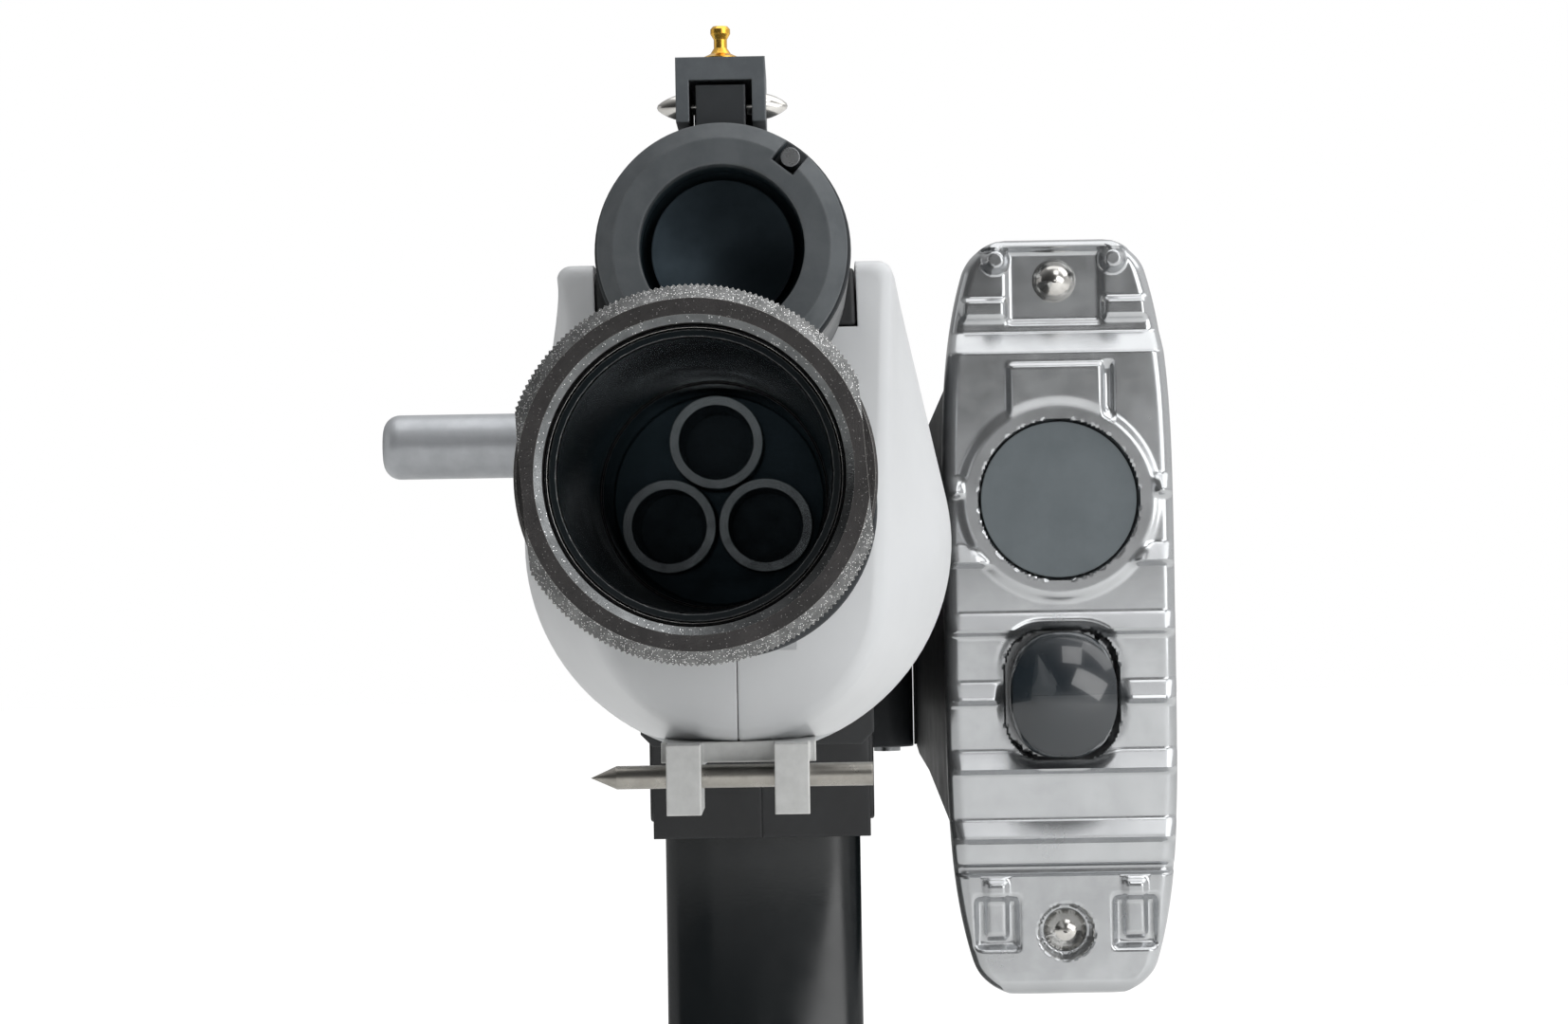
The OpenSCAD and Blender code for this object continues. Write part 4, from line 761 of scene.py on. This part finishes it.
def grip_ring(bm, z):
    """One section of the grip at a place along it: finger grooves in front, a hollow behind, ribs at the
    sides."""
    fingers = sum(math.exp(-((z + at) / 7.5) ** 2) for at in (24, 45, 66))
    front = -20.6 + 2.6 * fingers + 1.5 * ease(-16, 0, z)
    back = 22.4 - 3.6 * math.exp(-((z + 20) / 14) ** 2) - 1.0 * math.exp(-((z + 80) / 16) ** 2)
    half = 12.0 + 1.9 * math.exp(-((z + 48) / 30) ** 2) + 1.6 * ease(-84, -96, z)
    panel = ease(-14, -19, z) * ease(-86, -81, z)
    rib = 0.7 * panel * (1 if math.sin(2 * math.pi * z / 4.4) > 0 else 0)
    ring = []
    for i in range(grip_points):
        a = 2 * math.pi * i / grip_points
        c, s = math.cos(a), math.sin(a)
        x = half * math.copysign(abs(c) ** 0.75, c)
        y = (front + back) / 2 + (back - front) / 2 * math.copysign(abs(s) ** 0.8, s)
        if abs(s) < 0.72:
            x -= math.copysign(rib, c)
        ring.append(bm.verts.new((x * MM, y * MM, z * MM)))
    return ring


bm = bmesh.new()
rings = [grip_ring(bm, 8 - 0.55 * i) for i in range(188)]
rings.append(grip_ring(bm, -grip_len + 0.6))
for v in rings[-1]:
    v.co.x *= 0.985
rings.append(grip_ring(bm, -grip_len))
for v in rings[-1]:
    v.co.x *= 0.95
    v.co.y *= 0.96
for r, z in ((screw_well, -grip_len), (screw_well, well_deep - grip_len), (screw_hole, well_deep - grip_len)):
    turns = [2 * math.pi * i / grip_points for i in range(grip_points)]
    rings.append([bm.verts.new((r * math.cos(a) * MM, r * math.sin(a) * MM, z * MM)) for a in turns])
for near, far in zip(rings, rings[1:]):
    for i in range(grip_points):
        j = (i + 1) % grip_points
        bm.faces.new((near[i], near[j], far[j], far[i]))
bm.faces.new(rings[0])
bm.faces.new(rings[-1])
bmesh.ops.rotate(bm, verts=bm.verts, cent=(0, 0, 0), matrix=Matrix.Rotation(grip_lean, 3, "X"))
bmesh.ops.translate(bm, verts=bm.verts, vec=(0, grip_y * MM, grip_top * MM))
cut_off(bm, Vector((0, 0, grip_top * MM)), Vector((0, 0, 1)))
bmesh.ops.recalc_face_normals(bm, faces=bm.faces)
handle = object_from(bm, "grip_finger_moulding", grip_black, 40)
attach(handle, "gun")
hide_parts("grip")

# ----------------------------------------------------------------------------------------------------------
# Fold: a hinge block behind the receiver with two knuckles and a pin, and a latch button on top of it that
# is pressed down to let the stock swing.
soft_copy("hinge_block", "gun", satin_black, 0.6)
dress(plain_steel, "hinge_pin")
dress(control_black, "latch_button")
dress(spring_wire, "latch_spring")

# ----------------------------------------------------------------------------------------------------------
# Stock: two black moulded halves, screwed together, folded beside the receiver. The outer one has six
# raised ribs that follow its taper and a pad near the hinge, and the knuckle has a narrow strip.
for node in ("stock_inner", "stock_outer"):
    soft_copy(node, "stock", moulded_black, 1.2)
stock_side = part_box("stock_outer")[1].x / MM
stock_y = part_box("stock_outer")[0].y / MM
bm = bmesh.new()
for rib in range(6):
    rib_z = 8 - 8.6 * rib
    pad(bm, stock_side, 1.1, stock_y + 17 + 1.5 * rib, stock_y + 151 - 7 * rib, rib_z, rib_z + 4.4, 2.1)
pad(bm, stock_side, 0.8, stock_y + 199, stock_y + 210, -40, 13, 3)
pin_low, pin_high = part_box("hinge_pin")
fold_x, fold_y = (pin_low.x + pin_high.x) / 2 / MM, (pin_low.y + pin_high.y) / 2 / MM
knuckle_r = 6
strip_at = Vector((fold_x + knuckle_r + 0.6, fold_y - 1.6, -18.5)) * MM
bmesh.ops.create_cube(bm, size=1, matrix=Matrix.Translation(strip_at)
                      @ Matrix.Diagonal((1.0 * MM, 2.4 * MM, 52 * MM, 1)))
bmesh.ops.recalc_face_normals(bm, faces=bm.faces)
stock_ribs = object_from(bm, "stock_side_ribs", moulded_black, 35)
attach(stock_ribs, "stock")

# ----------------------------------------------------------------------------------------------------------
# Butt plate: a semi-gloss grey moulding with a ratchet of cross ribs, a round disc in a shallow seat, a
# domed knob, two pockets at its foot and a screw in a sunk hole at each end.
# semi-gloss silver grey: mid grey lands between broad, bright ribs
butt_grey = finish("semi_gloss_grey_moulding", "#bfc1c3", "#b8babc", 0.22, metallic=0.85, patch=9, grain=1.2,
                   relief=0.003, edge=0.02, coat=0.1)
butt_low, butt_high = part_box("butt_plate")
butt_mid = (butt_low.z + butt_high.z) / 2 / MM
butt_x = (butt_low.x + butt_high.x) / 2 / MM
butt_tall = (butt_high.z - butt_low.z) / 2 / MM
butt_face = butt_low.y / MM + 2                 # the face that the relief is measured from
butt_r = 5.5                                    # rounding of the plate's corners, seen from the front
disc_z = (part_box("butt_disc")[0].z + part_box("butt_disc")[1].z) / 2 / MM
knob_z = (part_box("butt_knob")[0].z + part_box("butt_knob")[1].z) / 2 / MM
foot_screw_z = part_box("butt_screws")[0].z / MM + 3.8
head_screw_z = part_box("butt_screws")[1].z / MM - 3.8


def within(v, low, high, soft):
    """1 between low and high, 0 outside, with soft sides."""
    return ease(low - soft, low + soft, v) * (1 - ease(high - soft, high + soft, v))


def butt_half(z):
    """Half width of the plate at a height, drawn in towards both ends and round at its corners."""
    t = abs(z - butt_mid) / butt_tall
    corner = max(butt_r - butt_tall * (1 - t), 0)
    return 20 * (1 - 0.3 * t ** 4.5) - butt_r + math.sqrt(max(butt_r ** 2 - corner ** 2, 0))


# the ratchet: from one rib to the next, the sunk land, the rise, where the first starts, and the height
rib_step, land, rib_rise, rib_foot, rib_tall = 11.95, 7.75, 3.2, 0.2, 1.6


def butt_relief(x, z):
    """How far the plate's face stands out at a place, in millimetres: x from its middle, z as a height."""
    u = z - disc_z
    from_disc = math.hypot(x, u)
    # the ratchet of cross ribs below the disc
    below = (rib_foot - u) % rib_step
    sag = ease(0, -60, u) * 0.09
    if below < land:
        out = -sag * below
    elif below < land + rib_rise:
        out = -sag * land + (rib_tall + sag * land) * (below - land) / rib_rise
    else:
        out = rib_tall * (rib_step - below) / (rib_step - land - rib_rise)
    out = out if -63 < u < rib_foot + rib_step - land else 0
    # a raised panel above the disc with a groove beside it, and the flat round the disc
    out += 0.7 * within(x, -8.4, 7.9, 0.5) * within(u, 8, 23.5, 0.5)
    out += -0.6 * within(x, 8.0, 9.6, 0.4) * within(u, 12, 23.5, 0.6)
    out += (0.5 - out) * (1 - ease(16.2, 18.0, from_disc))
    # the head: a step down, two pads, a sunk middle, two small bosses and a lip at the top
    if u > 25.6:
        out = -3.3 * min((u - 25.6) / 3.7, 1)
        out += 0.7 * within(u, 31.6, 35.0, 0.7) * within(abs(x), 8.6, 16, 0.7)
        out += -0.7 * within(abs(x), -1, 8.2, 0.8) * within(u, 31.0, 43.5, 0.8)
        out += 2.6 * (1 - ease(1.2, 2.6, math.hypot(abs(x) - 10.2, u - 41.8)))
        out += 2.2 * ease(43.3, 44.2, u)
    # the foot: a groove across, and two pockets with a raised bar in each
    out += -1.2 * within(u, -64.8, -63.2, 0.35)
    if u < -64.8:
        out += 0.5 - 1.7 * within(abs(x), 8.4, 15.6, 0.7) * within(u, -77.4, -69.0, 0.8)
        out += 0.9 * within(abs(x), 10.2, 13.8, 0.7) * within(u, -75.8, -66.0, 0.8)
    # the seat of the disc, the hollow and hole of the knob, and the two sunk screw holes
    out += (-2.35 - out) * (1 - ease(13.65, 13.95, from_disc))
    around_knob = math.hypot(max(abs(x) - 3, 0), max(abs(z - knob_z) - 4.5, 0))
    out += (-0.4 - out) * (1 - ease(7.0, 8.8, around_knob))
    out += (-8.3 - out) * (1 - ease(6.55, 6.85, around_knob))
    for hole_z in (head_screw_z, foot_screw_z):
        out += (-4.0 - out) * (1 - ease(4.3, 4.9, math.hypot(x, z - hole_z)))
    # the rounded rim
    edge = min(butt_half(z) - abs(x), butt_tall - abs(z - butt_mid))
    bend = 1 - min(edge / 2.4, 1)
    return out - (2.4 + max(out, 0)) * (1 - math.sqrt(max(1 - bend * bend, 0)))


bm = bmesh.new()
bmesh.ops.create_grid(bm, x_segments=120, y_segments=390, size=1)
for v in bm.verts:
    t = 0.25 * math.sin(v.co.y * math.pi / 2) + 0.75 * v.co.y
    z = butt_mid + butt_tall * t
    x = butt_half(z) * (v.co.x * 0.8 + 0.2 * math.sin(v.co.x * math.pi / 2))
    v.co = Vector((butt_x + x, butt_face - butt_relief(x, z), z)) * MM
walls = bmesh.ops.extrude_edge_only(bm, edges=[e for e in bm.edges if e.is_boundary])
for part in walls["geom"]:
    if isinstance(part, bmesh.types.BMVert):
        part.co.y = butt_high.y
bmesh.ops.holes_fill(bm, edges=[e for e in bm.edges if e.is_boundary], sides=0)
bmesh.ops.recalc_face_normals(bm, faces=bm.faces)
plate = object_from(bm, "butt_plate_moulding", butt_grey, 50)
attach(plate, "stock")
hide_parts("butt_plate")

# matt slate rubber: a flat blue grey
slate_disc = finish("matt_slate_rubber", "#697175", "#626a6e", 0.55, patch=7, grain=0.35, relief=0.01,
                    edge=0.4)
dress(slate_disc, "butt_disc")

# gloss black: deep, with one clear window light
knob_black = finish("gloss_black_knob", "#20292f", "#1a2228", 0.22, patch=8, grain=0.5, relief=0.003,
                    edge=0.8, coat=1.0)
knob_low, knob_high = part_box("butt_knob")
knob_half, knob_tall, knob_dome = 9.1 * MM, 10.9 * MM, 6.6 * MM
squareness = 2.6                                # 2 is an ellipse; more is squarer
back_flat = 0.1                                 # share of its back's depth kept, to clear the plate
bm = bmesh.new()
bmesh.ops.create_uvsphere(bm, u_segments=64, v_segments=40, radius=1)
for v in bm.verts:
    flat = math.hypot(v.co.x, v.co.y)
    if flat > 1e-6:
        c, s = v.co.x / flat, v.co.y / flat
        square = (abs(c) ** squareness + abs(s) ** squareness) ** (-1 / squareness)
        v.co.x, v.co.y = c * square * flat, s * square * flat
bmesh.ops.scale(bm, verts=bm.verts, vec=(knob_half, knob_tall, knob_dome))
bmesh.ops.rotate(bm, verts=bm.verts, cent=(0, 0, 0), matrix=Matrix.Rotation(math.radians(90), 3, "X"))
for v in bm.verts:
    v.co.y *= back_flat if v.co.y > 0 else 1
knob_x = (knob_low.x + knob_high.x) / 2
bmesh.ops.translate(bm, verts=bm.verts, vec=(knob_x, knob_low.y + knob_dome, knob_z * MM))
bmesh.ops.recalc_face_normals(bm, faces=bm.faces)
knob = object_from(bm, "butt_knob_cap", knob_black, 60)
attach(knob, "knob")
dress(knob_black, "butt_knob")
dress(spring_wire, "knob_spring")
